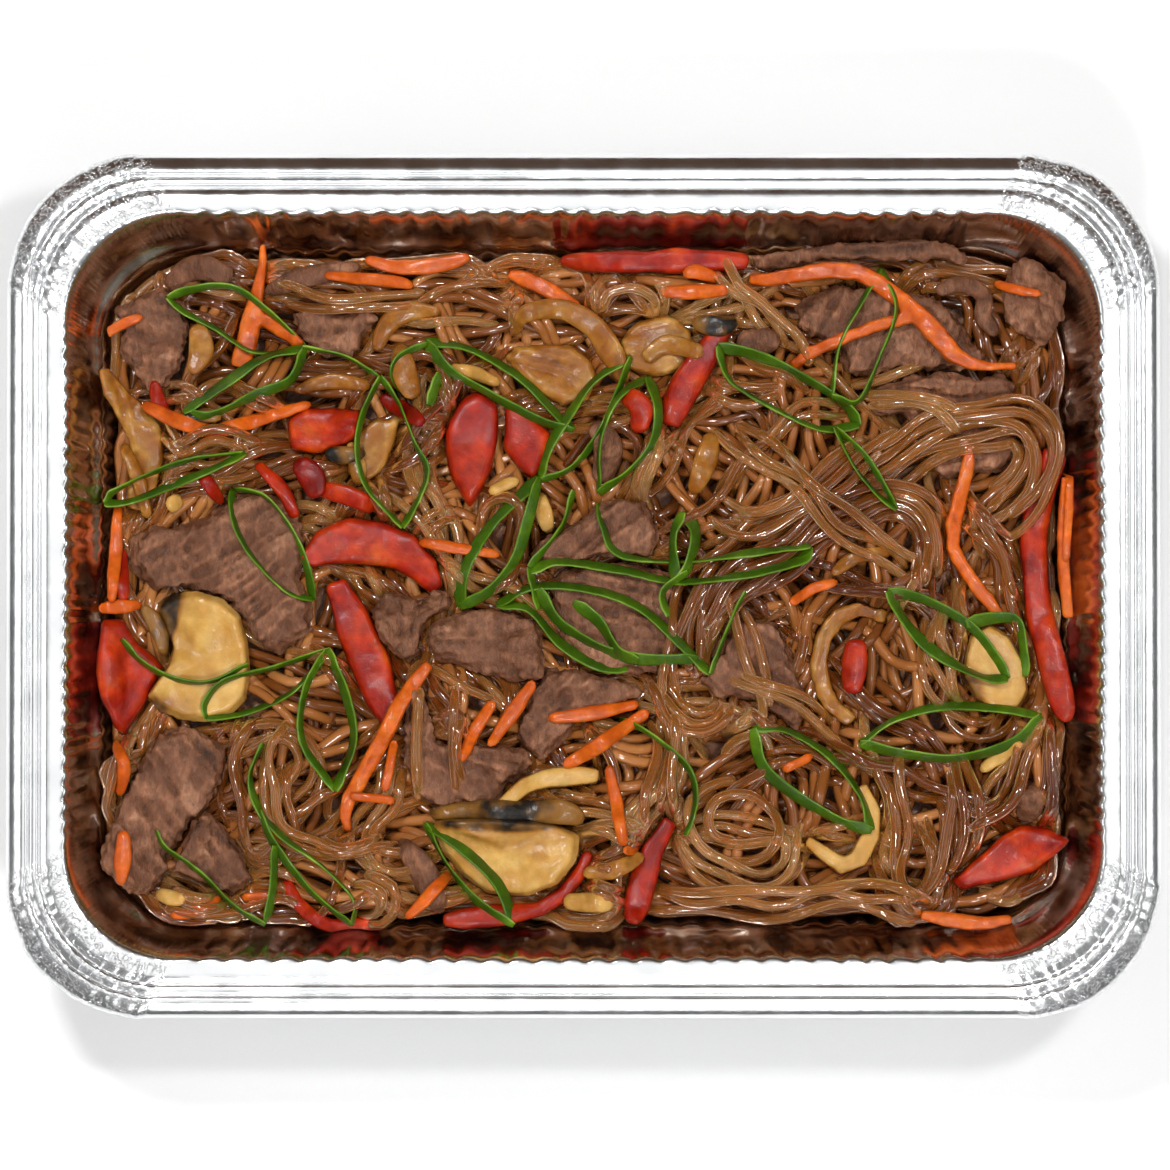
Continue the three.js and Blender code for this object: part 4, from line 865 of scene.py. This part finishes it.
def scatterStrands(bunch, wanted, detail, lengths, bend, group):  # free runs, laid where most room is left
    made = 0
    farX, farY = noodle["startWithin"]
    while made < wanted:
        best, bestRoom = None, -99
        for _ in range(noodle["tries"]):
            x, y = dice.uniform(-farX, farX), dice.uniform(-farY, farY)
            if insideHeap(x, y, 2) < 0:
                continue
            path = wander(x, y, dice.uniform(0, 6.3), dice.uniform(*lengths), bend)
            if len(path) < noodle["shortest"]:
                continue
            roomLeft = float(openness(path).mean())
            if roomLeft > bestRoom:
                best, bestRoom = path, roomLeft
        if best is None:
            continue
        tone = dice.uniform(*noodle["tones"])
        for run in parallels(best, dice.choice(group), noodle["pitch"], 0.9):
            if len(run) < noodle["shortestRun"]:
                continue
            addStrand(bunch, run, False, detail, (-0.1, 0.12), tone)
            made += 1


# Prominent runs of the top layer: knots seen from above, strands side by side, over the toppings or not
sweeps = [
    ([(21, -23), (21, -12), (24, -2), (32, 6), (43, 14), (55, 21), (67, 28), (80, 33), (88, 33), (91.5, 27),
      (89, 19), (80, 12)], 5, True),
    ([(24, -9), (31, 0), (42, 7), (52, 14), (60, 18), (67, 15), (71, 8), (70, -2)], 4, False),
    ([(24, 17), (33, 13), (44, 17), (55, 26), (64, 31)], 3, False),
    ([(26, 36), (33, 29), (41, 23), (50, 14), (60, 8), (68, 1)], 3, False),
    ([(52, 38), (62, 38.5), (72, 35.5), (80, 30)], 2, True),
    ([(53, 41), (64, 43), (74, 45.5)], 1, True),
    ([(-14, 50), (-14.5, 58), (-9, 65), (-1, 65), (3, 59), (0, 52), (-6, 50)], 2, False),
    ([(3, 53), (4, 60), (10, 62), (15, 58), (13, 51)], 2, False),
    ([(26, 68), (30, 60), (36, 57), (42, 50), (44, 44)], 2, True),
    ([(36, -42), (30, -38), (23, -42), (22, -50), (28, -56), (36, -54), (39, -47), (34, -41), (27, -43),
      (26, -49), (31, -52)], 1, False),
    ([(20, -37), (19, -46), (24, -56), (34, -60), (42, -56), (44, -46)], 3, False),
    ([(60, -33), (62, -45), (61, -57), (65, -65), (71, -63), (72, -52), (69, -40)], 4, False),
    ([(74, -32), (77, -44), (74, -56), (68, -66)], 3, False),
    ([(90.5, -24), (89, -34), (84, -43), (77, -49)], 2, False),
    ([(72, -2), (70, -12), (73, -22), (80, -27)], 3, True),
    ([(78, 8), (76, -4), (79, -14), (83, -22)], 2, False),
    ([(-68, -24), (-71, -36), (-70, -48), (-66, -55), (-60, -52), (-61, -42), (-58, -32)], 2, False),
    ([(-61, -26), (-64, -38), (-60, -49), (-50, -54), (-40, -51)], 2, False),
    ([(-57, -49), (-48, -53), (-38, -51)], 2, False),
    ([(-49, -60), (-44, -58), (-39, -61), (-41, -66), (-47, -66)], 2, False),
    ([(-64, 60), (-52, 58), (-40, 57), (-30, 60)], 2, True),
    ([(-33.5, -18), (-33, -30), (-34, -44)], 1, True),
    ([(-24, -19), (-26, -31), (-23.5, -44)], 2, True),
    ([(29, -1), (34, -13), (37, -22), (36, -30)], 2, True),
    ([(44, -6), (43, -14), (42, -22)], 1, True),
    ([(26, -14), (36, -20), (46, -25), (53, -30)], 2, True),
    ([(-6, -57), (14, -62), (34, -64), (54, -62), (72, -66)], 3, False),
    ([(14, -20), (17, -30), (15, -42), (17, -54)], 3, False),
    ([(-52, 30), (-44, 24), (-40, 14), (-42, 4)], 2, False),
    ([(-32, 47), (-27, 38), (-30, 28), (-36, 22)], 2, False),
    ([(22, 46), (27, 40), (35, 38), (44, 41)], 2, False),
    ([(34, 26), (40, 32), (47, 36), (56, 36)], 2, False),
    ([(-90, 32), (-82, 28), (-74, 30), (-64, 28)], 2, False),
    ([(-95, 10), (-90, 16), (-82, 22), (-72, 24)], 2, False),
    ([(-88, -62), (-76, -64), (-62, -60), (-54, -64)], 3, False),
    ([(10, 36), (14, 28), (12, 18), (16, 8)], 2, False),
    ([(-20, 12), (-28, 14), (-34, 8), (-30, 0)], 2, False),
]


def noodleMaterial(name, clearness, tones):  # amber strand wet with sauce; clearness lets light through
    material, tree, shader = startMaterial(name, 0.16, Coat_Weight=0.7, Coat_Roughness=0.06, IOR=1.34,
                                           Transmission_Weight=clearness, Specular_IOR_Level=0.35)
    colour = ramp(tree, read(tree, "tone"), tones)
    tree.links.new(colour, shader.inputs["Base Color"])
    relief(tree, shader, speckle(tree, 1.8, 2.0, 0.4), 0.05)
    return material


soakedNoodle = noodleMaterial("soakedNoodle", 0.0, [(0.0, (88, 46, 17)), (0.35, (117, 65, 26)),
                                                    (0.7, (150, 90, 42)), (1.0, (172, 112, 60))])
glassNoodle = noodleMaterial("glassNoodle", 0.76, [(0.0, (128, 64, 17)), (0.35, (163, 91, 29)),
                                                   (0.7, (200, 132, 56)), (1.0, (222, 166, 94))])
lower = Bunch()
scatterStrands(lower, noodle["lowerStrands"], noodle["lowerDetail"], noodle["lowerLengths"],
               noodle["lowerBend"], (1, 2, 2, 3))
edgeStrands(lower, noodle["lowerAlongWall"], 21.0, noodle["lowerDetail"])
lower.finish("noodles_lower", soakedNoodle, "noodle", ["noodles"])
print("lower noodles", lower.count)


# Small pieces that lie in the noodles: thickness, then x, y and half width along each, then any shift of tone

small = {
    "beef": [
        (3.0, [(71, 59.5, 1.4), (76, 61, 1.7), (80.5, 59, 1.8), (80.8, 54.5, 1.8), (83.5, 51, 1.2)]),
        (2.4, [(-84, 60.5, 1.8), (-78, 64.5, 2.6), (-71, 62, 2.2)]),
        (2.6, [(-64, 59.5, 1.2), (-57, 62, 2.2), (-50, 63.5, 1.8), (-45, 64.5, 0.9)]),
        (2.6, [(-37, -51, 1.4), (-33, -56, 2.8), (-30, -62, 2.4), (-28.5, -65.5, 1.2)]),
        (2.6, [(2, 33, 1.6), (5, 28, 3), (3.5, 21, 2)]),
        (2.6, [(31, 50, 1.6), (35.5, 49.5, 3), (39.5, 50, 1.6)]),
        (2.6, [(89, -38.5, 1.8), (90, -43, 2.8), (88.5, -47, 2)]),
        (1.2, [(-34, -21, 0.7), (-33.5, -30, 0.8), (-33, -38, 0.6)]),
    ],
    "pepper": [
        (2.2, [(-86.5, 41.5, 1), (-85.5, 37, 1.6), (-83.5, 33, 1)]),
        (2.2, [(-54, 20, 1.4), (-48, 18.5, 2), (-42, 16, 1.6)]),
        (2.4, [(-58, 25.5, 1.6), (-55, 22.5, 2.8), (-53.5, 18, 1.8)], -0.4),
        (2.0, [(-41, 38.5, 1.2), (-36, 35.5, 1.8), (-32, 32.5, 1.2)], -0.35),
        (2.0, [(-66, 25, 1.0), (-61, 20, 1.5), (-58, 14, 1.2)]),
        (2.6, [(55, -10.5, 2), (54.5, -16, 2.6), (54, -21.5, 1.8)]),
        (2.4, [(8, 39, 1.8), (11.5, 36, 2.4), (11, 31, 1.8)]),
        (2.2, [(-77, 23, 1.1), (-75, 20, 1.4), (-73, 17, 1)]),
        (1.8, [(-93.5, 8, 1.2), (-93, 2, 1.5), (-92.5, -3, 1)]),
        (1.8, [(-60, -59, 1), (-57, -64, 1.4), (-51, -68, 1.4), (-40, -69, 1)]),
    ],
    "carrot": [
        (1.8, [(-44, 66, 1), (-37, 64.5, 1.5), (-29, 65, 1.6), (-23, 66.5, 1)]),
        (1.8, [(15, 59.5, 1), (21, 59.5, 1.5), (29, 59.5, 1.2)]),
        (1.8, [(41.5, -3.5, 0.9), (46, -0.5, 1.1), (51, 1, 0.8)]),
        (1.8, [(-33, 9, 0.9), (-27, 8, 1.2), (-17, 6.5, 0.9)]),
        (1.8, [(5, -36, 0.9), (6.5, -43, 1.3), (8, -52, 1.1)]),
        (1.8, [(-83, -66, 0.9), (-78, -65.2, 1.3), (-73, -62.5, 0.9)]),
        (1.8, [(-94.5, -31, 0.9), (-92.2, -36, 1.3), (-93.5, -42, 0.9)]),
        (1.4, [(83, 61.5, 0.8), (87, 60, 1), (92, 59, 0.8)]),
        (1.4, [(97.8, 23, 0.8), (97.5, 14, 0.9), (97, 5, 0.8)]),
        (1.8, [(-92.5, -49, 1.2), (-92.5, -55, 1.8), (-93, -60, 0.8)]),
        (1.5, [(-69, -62.5, 0.9), (-61, -62, 1.0)]),
        (1.8, [(-27, -57.5, 1.0), (-31, -62, 1.4), (-35.5, -66.5, 0.8)]),
        (1.8, [(-10, -19, 1.0), (-14, -25, 1.5), (-19, -32, 0.9)]),
        (1.8, [(-18, -23, 1.0), (-22, -29, 1.4), (-24.5, -35, 0.9)]),
        (1.8, [(-7, -26.5, 1.0), (1, -25.5, 1.5), (11, -23.5, 1)]),
        (1.9, [(-4, -36, 1.1), (3, -32, 1.6), (13, -25, 1.1)]),
        (1.6, [(8, -53, 1), (11, -53, 1)]),
        (1.6, [(-99, -4.3, 0.9), (-94, -4, 1.5), (-89, -3.5, 0.9)]),
        (1.8, [(-89, 37, 1), (-83, 34, 1.6), (-75, 31.5, 1.4), (-65, 34, 1.5), (-55, 37, 0.9)]),
        (1.4, [(40, -37, 0.9), (46, -34, 0.9)]),
        (1.4, [(-97, 51, 0.9), (-92, 53.5, 1.1), (-89, 54.5, 0.8)]),
        (1.4, [(-38, -31, 0.9), (-40, -41, 1)]),
        (1.6, [(-94, 17, 0.9), (-94.5, 5, 1.4), (-95, -3, 0.9)]),
        (1.5, [(-47, -42, 0.9), (-38, -43, 0.9)]),
        (1.6, [(-52, 62.5, 0.9), (-45, 62, 1.2), (-37, 61.5, 1.2), (-34.5, 60.5, 0.8)]),
        (1.7, [(20, 63, 1.1), (23, 63.5, 1.6), (27.5, 62, 1.1)]),
    ],
    "onion": [
        (1.8, [(-78, 53, 1.6), (-77, 48, 2.6), (-79, 43, 1.1)]),
        (1.8, [(-42, 48, 1.2), (-39.5, 53, 2), (-35, 55.5, 2), (-29, 55.5, 1.1)]),
        (1.8, [(-14.5, 51, 0.9), (-11.5, 55, 1.8), (-4.5, 56, 2.1), (1.5, 53, 2.3), (5.5, 47.5, 2.5),
               (8.5, 41.5, 1.4)]),
        (1.8, [(26, 31, 1.6), (24.5, 25, 2.4), (22, 19, 1.4)]),
        (1.8, [(-47, 29, 1.2), (-45.5, 24.5, 1.8), (-45.5, 20.5, 1.0)], 0.1),
        (1.8, [(-37, 49, 1.4), (-36, 43, 2.6), (-34, 38, 1.6)], -0.15),
        (1.8, [(-58, 39.5, 1.0), (-51, 41.5, 1.6), (-43, 40.5, 1.2)], -0.2),
        (1.8, [(12, 46, 1.4), (17, 49, 2.0), (24, 47, 1.6)]),
        (1.8, [(0, -57.5, 1.2), (6, -57, 1.8), (12, -54, 1.2)], 0.1),
        (1.8, [(50, 2.5, 1.0), (55, 6, 1.5), (62, 7, 1.0)]),
        (1.8, [(-93, 29, 1.0), (-90, 22, 1.5), (-88, 14, 1.0)]),
    ],
    "mushroom": [
        (2.6, [(-4, -63.2, 1.6), (2, -63.5, 2), (6, -63.5, 1.6)]),
        (2.4, [(-86, -61.5, 1.2), (-83, -62.5, 1.6), (-80, -63, 1.2)]),
        (2.4, [(80, -37, 1), (84, -34, 1.5), (88, -31.5, 1)]),
        (2.0, [(-9, 19, 1.2), (-8, 15, 1.8), (-7, 11, 1.2)]),
        (1.8, [(-19, 19, 1), (-16, 20.5, 1.3), (-13, 21.5, 1)]),
        (1.8, [(-27, 44, 1), (-22, 43, 1.4), (-17, 41, 1)]),
        (2.4, [(-31, -45.4, 1.4), (-22, -45.0, 2.0), (-13, -45.2, 2.3), (-4, -45.4, 2.5),
               (0, -47, 1.4)], -0.95),
        (2.2, [(-52, 27, 1.2), (-48, 26.5, 1.8), (-44, 27, 1.2)], -0.95),
        (2.2, [(-81, 33, 1.0), (-77, 34.5, 1.6), (-73, 34, 1.0)], -0.9),
        (2.2, [(22, 53.5, 1.4), (27, 52.5, 2.2), (31, 53.5, 1.2)], -0.95),
        (2.0, [(-84, 17.5, 1.4), (-82.5, 17, 2), (-81, 16.5, 1.4)]),
        (1.8, [(-89, -3.8, 1.0), (-86.8, -6.5, 1.7), (-85.2, -10, 1.6), (-84.6, -13.5, 0.9)], -0.85),
    ],
}


shred = {
    "spacing": 0.8, "sides": 12, "roundness": 0.7, "sink": 0.15, "tilt": 0.35, "unevenness": 0.14,
    "taper": 1.6, "end": 0.45,             # steps over which an end narrows, and how much of it is left
}


def strip(knots, thick, seed):  # a soft strip laid along its knots
    line = smoothLine(knots, shred["spacing"])
    flat = line[:, :2]
    height = lay(flat, thick / 2, True, dive=0.0, sink=shred["sink"])[:, 2]
    flat = clearWall(np.column_stack([flat, height]), 0.8 * line[:, 2].max())[:, :2]
    count, sides = len(line), shred["sides"]
    angles = np.arange(sides) / sides * 2 * math.pi
    wide, tall = (squared(wave, shred["roundness"])[None, :] for wave in (np.cos(angles), np.sin(angles)))
    edge = np.clip(fromEnds(count) / shred["taper"], 0, 1)
    full = shred["end"] + (1 - shred["end"]) * np.sqrt(1 - (1 - edge) ** 2)
    tilt = shred["tilt"] * lumps(np.column_stack([flat, np.zeros(count)]), 8, seed)
    half = line[:, 2] * full
    up = tall * (thick / 2 * full)[:, None] + wide * (half * tilt)[:, None]
    points = sweptPoints(flat, sideways(line), wide * half[:, None], up, height)
    points = jittered(points, 1.8, shred["unevenness"], seed + 1)
    tone = 0.5 + 0.22 * lumps(points, 3.0, seed + 4) + 0.15 * lumps(points, 1.0, seed + 5)
    return points, tubeFaces(count, sides), tone


def laySmall(kind):
    bunch = Bunch()
    for k, (thick, knots, *shift) in enumerate(small[kind]):
        points, faces, tone = strip(knots, thick, 401 + 13 * k)
        if kind == "mushroom":
            tone = 0.3 + 0.8 * tone
        bunch.add(points, faces, tone + sum(shift))
        raiseGround(points)
    bunch.finish(kind + "_bits", materials[kind], kind, ["noodles"])


upper = Bunch()
edgeInset = heap["upperEdge"]
edgeStrands(upper, noodle["upperAlongWall"], 18.4, noodle["upperDetail"])
scatterStrands(upper, noodle["upperStrands"], noodle["upperDetail"], noodle["upperLengths"],
               noodle["upperBend"], (1, 2, 3))
for kind in ("beef", "onion", "mushroom", "pepper", "carrot"):
    laySmall(kind)
print("small pieces")
for knots, count, over in sweeps:
    tone = dice.uniform(*noodle["sweepTones"])
    for run in parallels(smoothLine(knots, 1.0), count, noodle["sweepPitch"], 0.8):
        addStrand(upper, run, over, noodle["upperDetail"], (-0.08, 0.14), tone)
upper.finish("noodles_upper", glassNoodle, "noodle", ["noodles"])
print("upper noodles", upper.count)


# Scallion: rings cut on the slant, each side a thin band that stands on edge and turns over in places

band = {
    "height": 1.15, "thickness": 0.28, "spacing": 0.7, "sides": 10,   # half height and half thickness
    "standThin": 74, "standWide": 22,      # degrees from lying flat, for a thin look and a wide one
    "thin": 1.0, "wide": 3.2, "flatFrom": 1.6,     # how wide those looks are, and where the height follows
    "turn": 22, "tipTurn": 16,             # swing of that angle, and less at the tips
    "least": 8, "most": 86, "tipLength": 5, "sink": 0.25, "evened": 30, "unevenness": 0.07,
}
leaves = {                                 # per side: how wide it looks, then knots from tip to tip
    "scallion_corner": [
        (1.2, [(-84, 58.5), (-79, 60), (-71, 60.5), (-64, 56), (-56, 48.5)]),
        (1.3, [(-84, 58.5), (-80.5, 55.5), (-74, 52), (-66, 47.3), (-56, 48.5)]),
        (1.7, [(-56, 48.2), (-64.5, 46), (-72, 41), (-80.5, 35)]),
        (1.9, [(-56, 48.2), (-59, 41.5), (-66, 38.5), (-75, 34.5), (-80.5, 35)]),
        (1.2, [(-56.5, 48.2), (-48, 46.5), (-41, 42)]),
        (1.1, [(-41, 42.5), (-44.5, 34.5), (-45.5, 27), (-43.5, 20), (-36.5, 12)]),
        (1.1, [(-41, 42.5), (-37, 36.5), (-34, 29), (-31.5, 23.5), (-33, 18), (-36.5, 12)]),
    ],
    "scallion_back": [
        (1.8, [(-32, 49.5), (-23, 48), (-13, 42.5), (-6.5, 36), (-2, 31.5)]),
        (2.0, [(-32, 49.5), (-27, 43.5), (-20, 39.5), (-10, 34), (-2, 31.5)]),
        (1.2, [(-31.5, 49), (-37, 46.5), (-38.5, 43), (-36.5, 39)]),
    ],
    "scallion_pair": [
        (1.9, [(9.5, 46.5), (2, 41.5), (-3, 34.5), (-7, 28), (-9, 21.5)]),
        (1.3, [(9.5, 46.5), (6.5, 38), (3, 30.5), (-2.5, 24), (-9, 21.5)]),
        (1.2, [(13, 42.5), (7, 38), (3.5, 30), (3, 19)]),
        (1.7, [(13, 42.5), (15, 36), (14, 29), (9.5, 23.5), (3, 19)]),
        (2.0, [(-9, 22), (-11, 20), (-19, 12), (-24, 3), (-25, -4)]),
        (2.0, [(-9, 22), (-11, 14), (-13.5, 6), (-18.5, -0.5), (-25, -4)]),
    ],
    "scallion_right_back": [
        (2.0, [(27, 48.5), (35, 46.5), (45.5, 41.5), (53, 36.5), (55.5, 32.5)]),
        (1.5, [(27, 48.5), (29.5, 41.5), (37, 36.5), (47, 32), (55.5, 32.5)]),
        (0.9, [(60, 64.5), (55.5, 56.5), (51.5, 48.5), (50, 38.5)]),
        (0.9, [(60, 64.5), (63, 56), (60, 47), (55.5, 37.5), (50, 38.5)]),
        (1.1, [(50.5, 32.2), (57, 25.5), (63, 15.5)]),
        (1.1, [(50.5, 32.2), (54, 24.5), (59, 18.5), (63, 15.5)]),
    ],
    "scallion_left": [
        (1.4, [(-71, 20), (-64.5, 18.5), (-59, 12), (-56, 5), (-54.5, -2.5)]),
        (1.2, [(-71, 20), (-70.5, 13.5), (-67, 6.5), (-60.5, -0.5), (-54.5, -2.5)]),
    ],
    "scallion_left_edge": [
        (1.3, [(-98, 17), (-94.5, 19.5), (-87, 23), (-77, 26), (-68, 27)]),
        (1.7, [(-98, 17), (-92, 17.2), (-84, 20), (-75, 23.5), (-68, 27)]),
    ],
    "scallion_mushroom": [
        (1.2, [(-93, -10.5), (-89, -15), (-82.5, -18.5), (-75, -19), (-67.5, -15.5)]),
        (1.6, [(-51, -12.5), (-62, -16), (-72, -18.8), (-76, -23), (-76, -26.5)]),
        (1.5, [(-51, -12.5), (-55, -17.5), (-60, -22), (-69, -25.5), (-76, -26.5)]),
        (1.6, [(-51.5, -12.5), (-56, -21), (-56.5, -31), (-50, -41)]),
        (1.7, [(-51.5, -12.5), (-47.5, -23), (-46.5, -31.5), (-50, -41)]),
    ],
    "scallion_lower_left": [
        (1.2, [(-64.5, -31.5), (-67, -38), (-65, -45), (-60, -50.5), (-52, -56.5), (-46, -63), (-46.5, -68)]),
        (1.5, [(-65, -45), (-62, -52), (-55, -61), (-46.5, -68)]),
        (1.2, [(-62, -52), (-62.5, -61), (-64, -68)]),
        (1.4, [(-86, -49), (-84, -52.5), (-77, -57.5), (-70.5, -64), (-64, -68)]),
    ],
    "scallion_centre": [
        (1.7, [(-11, 3), (-5, 5), (7, 3.5), (19, 1), (31, 2), (43, 5), (45.5, 8)]),
        (1.4, [(45.5, 8), (33, 6.5), (21, 5), (7.5, 6.5), (4, 12), (3, 17)]),
        (1.9, [(-17.5, -3.5), (-10, 0), (1, -0.5), (11, -4), (19, -11), (25.5, -17.5)]),
        (1.2, [(25.5, -17.5), (30, -6), (32.5, -1)]),
        (2.0, [(-17.5, -3.5), (-11, -4.5), (-5, -11), (3, -16), (9, -16.5)]),
        (1.9, [(-9, -0.5), (-5, -7), (3, -12), (11, -14.5), (23, -14.5)]),
        (1.6, [(-11, 4), (-10, 0), (-9, -4.5)]),
        (1.7, [(20, 15), (18, 10), (18.5, 1)]),
        (1.9, [(20, 15), (22.5, 11), (21, 4), (18.5, 1)]),
    ],
    "scallion_right": [
        (2.2, [(61, -1), (69.5, -3), (78, -8), (83, -14), (85.5, -18.5)]),
        (1.9, [(61, -1), (65, -7.5), (71, -13.5), (80, -18), (85.5, -18.5)]),
        (2.5, [(77, -7.5), (82, -6.3), (87, -6.5), (88.5, -11), (89, -18)]),
    ],
    "scallion_right_lower": [
        (1.7, [(55.5, -31.5), (63, -26.5), (73, -24), (84, -24.5), (92, -26)]),
        (1.9, [(55.5, -31.5), (64, -33.5), (75, -34.5), (86, -31.5), (92, -26)]),
    ],
    "scallion_lower_right": [
        (1.7, [(34, -28.5), (41, -29), (49.5, -34), (55.5, -41.5), (58, -49)]),
        (1.9, [(34, -28.5), (36, -36), (42, -41.5), (51.5, -47), (58, -49)]),
    ],
    "scallion_lower": [
        (1.9, [(-32, -47.5), (-24.5, -52.5), (-17, -60), (-14, -68)]),
        (1.4, [(-32, -47.5), (-27, -56.5), (-21, -63.5), (-14, -68)]),
    ],
    "scallion_bits": [                     # lengths of leaf too small for a node of their own
        (1.7, [(-29, 43), (-31, 36.5)]),
        (1.1, [(7, -26.5), (14, -30), (21, -36.5), (22.5, -43), (20.5, -50)]),
        (1.2, [(-2, 19.5), (-4.5, 12), (-11, 4)]),
        (1.7, [(-2, -3), (3, -7), (7, -13), (11, -15)]),
        (1.4, [(21, 3), (16, -1), (17, -6)]),
    ],
}


def bandOf(wide, knots, seed):  # one side of a ring: points, faces and tone
    line = smoothLine(knots, band["spacing"])
    side = sideways(line)
    count, sides = len(line), band["sides"]
    flat = np.column_stack([line, np.zeros(count)])
    ends = fromEnds(count) * band["spacing"]
    tip = np.clip(1 - ends / band["tipLength"], 0, 1)
    stand = np.interp(wide, [band["thin"], band["wide"]], [band["standThin"], band["standWide"]])
    degrees = stand + band["turn"] * lumps(flat, 9, seed) - band["tipTurn"] * tip
    tilt = np.radians(np.clip(degrees, band["least"], band["most"])) * (1 if seed % 2 else -1)
    half = band["height"]
    if wide > band["flatFrom"]:
        half = max(half, 0.46 * wide / math.cos(math.radians(stand)))
    high = half * (1 + 0.25 * lumps(flat, 11, seed + 1)) * (1 - 0.5 * np.clip(1 - ends / 2.0, 0, 1))
    thick = band["thickness"] * (1 + 0.2 * lumps(flat, 6, seed + 2))
    reach = np.abs(high * np.sin(tilt)) + thick * np.cos(tilt)
    height = softened(lay(line, reach, True, dive=0.0, sink=band["sink"])[:, 2], band["evened"])
    line = clearWall(np.column_stack([line, height]), 1.0)[:, :2]
    angles = (np.arange(sides) + 0.5) / sides * 2 * math.pi
    u, v = squared(np.cos(angles), 0.55)[None, :], squared(np.sin(angles), 0.7)[None, :]
    across = u * (high * np.cos(tilt))[:, None] - v * (thick * np.sin(tilt))[:, None]
    up = u * (high * np.sin(tilt))[:, None] + v * (thick * np.cos(tilt))[:, None]
    tone = (0.42 - 0.1 * v + 0.3 * (np.abs(u) > 0.93) * (up > 0) + 0.2 * tip[:, None]
            + 0.2 * lumps(flat, 5, seed + 3)[:, None])
    points = jittered(sweptPoints(line, side, across, up, height), 1.6, band["unevenness"], seed + 4)
    return points, tubeFaces(count, sides), tone.ravel()


def layScallions():
    seed = 701
    for name, sides in leaves.items():
        bunch = Bunch()
        for wide, knots in sides:
            points, faces, tone = bandOf(wide, knots, seed)
            bunch.add(points, faces, tone)
            raiseGround(points)
            seed += 13
        ownNode = name != "scallion_bits"
        bunch.finish(name + "_cooked" if ownNode else name, materials["scallion"], "scallion",
                     [name if ownNode else "noodles"])


layScallions()
print("scallions")


# Room: pale floor, soft light, camera nearly straight above as in the photograph

room = {
    "floor": 3.0, "floorColour": (250, 250, 250),
    "sky": [(0.0, 0.35), (0.5, 0.12), (0.6, 0.15), (0.8, 0.19), (0.955, 0.26), (0.982, 0.8), (0.994, 1.1)],
    "back": (0.075, 0.045, 0.03, 1.0),     # the dark brown side of the room, towards +Y
    "lights": [                            # name, place, size, power
        ("keyLight", (-0.26, 0.34, 0.85), 0.1, 4.0),
        ("sparkLight", (0.30, 0.16, 0.85), 0.07, 1.9),
        ("frontLight", (0.08, -0.45, 0.8), 0.1, 2.6),
        ("leftBox", (-0.92, -0.05, 0.72), 0.5, 1.1),
        ("rightBox", (0.92, -0.05, 0.72), 0.5, 1.1),
        ("frontBox", (0.0, -0.92, 0.72), 0.6, 1.6),
    ],
    "cameraDistance": 1.5, "tilt": math.radians(1.8), "frameWidth": 233.6, "sensor": 36,
    "lookAt": (0.3, 0.0, 42.0),
}


def buildRoom():
    half = room["floor"] / 2
    corners = [(-half, -half, 0), (half, -half, 0), (half, half, 0), (-half, half, 0)]
    mesh = bpy.data.meshes.new("floor")
    mesh.from_pydata(corners, [], [(0, 1, 2, 3)])
    material, tree, shader = startMaterial("paleFloor", 0.7)
    tone = ramp(tree, speckle(tree, 300, 2.0), [(0.3, (246, 246, 246)), (0.7, room["floorColour"])])
    tree.links.new(tone, shader.inputs["Base Color"])
    mesh.materials.append(material)
    floor = bpy.data.objects.new("floor", mesh)
    bpy.context.scene.collection.objects.link(floor)
    buildSky()
    for name, place, size, power in room["lights"]:
        data = bpy.data.lights.new(name, "AREA")
        data.size = size
        data.energy = power
        light = bpy.data.objects.new(name, data)
        light.location = place
        aim = -np.array(place)
        flat = math.hypot(aim[0], aim[1])
        light.rotation_euler = (math.atan2(flat, -aim[2]), 0, math.atan2(-aim[0], aim[1]) if flat > 0 else 0)
        bpy.context.scene.collection.objects.link(light)
    camera = bpy.data.cameras.new("camera")
    camera.sensor_width = room["sensor"]
    camera.lens = room["sensor"] * room["cameraDistance"] / (room["frameWidth"] * mm)
    eye = bpy.data.objects.new("camera", camera)
    x, y, z = (value * mm for value in room["lookAt"])
    eye.location = (x, y - room["cameraDistance"] * math.sin(room["tilt"]),
                    z + room["cameraDistance"] * math.cos(room["tilt"]))
    eye.rotation_euler = (room["tilt"], 0, 0)
    bpy.context.scene.collection.objects.link(eye)
    bpy.context.scene.camera = eye


def buildSky():  # brighter overhead than at the horizon, dark brown low on the far side
    world = bpy.data.worlds.new("studio")
    world.use_nodes = True
    sky = world.node_tree
    place = sky.nodes.new("ShaderNodeTexCoord")
    split = sky.nodes.new("ShaderNodeSeparateXYZ")
    sky.links.new(place.outputs["Generated"], split.inputs["Vector"])

    def share(axis, low, high):
        span = sky.nodes.new("ShaderNodeMapRange")
        span.inputs["From Min"].default_value = low
        span.inputs["From Max"].default_value = high
        sky.links.new(split.outputs[axis], span.inputs["Value"])
        return span.outputs["Result"]

    glow = ramp(sky, share("Z", -1, 1), room["sky"])
    backward = ramp(sky, share("Y", 0.25, 0.6), [(0.0, 0), (1.0, 1)])
    low = ramp(sky, share("Z", 0.72, 0.9), [(0.0, 1), (1.0, 0)])
    dark = blendColours(sky, 1.0, backward, low, "MULTIPLY")
    sky.links.new(blendColours(sky, dark, glow, room["back"]), sky.nodes["Background"].inputs["Color"])
    bpy.context.scene.world = world


buildRoom()
bpy.context.scene.view_settings.view_transform = "Standard"
print("room")
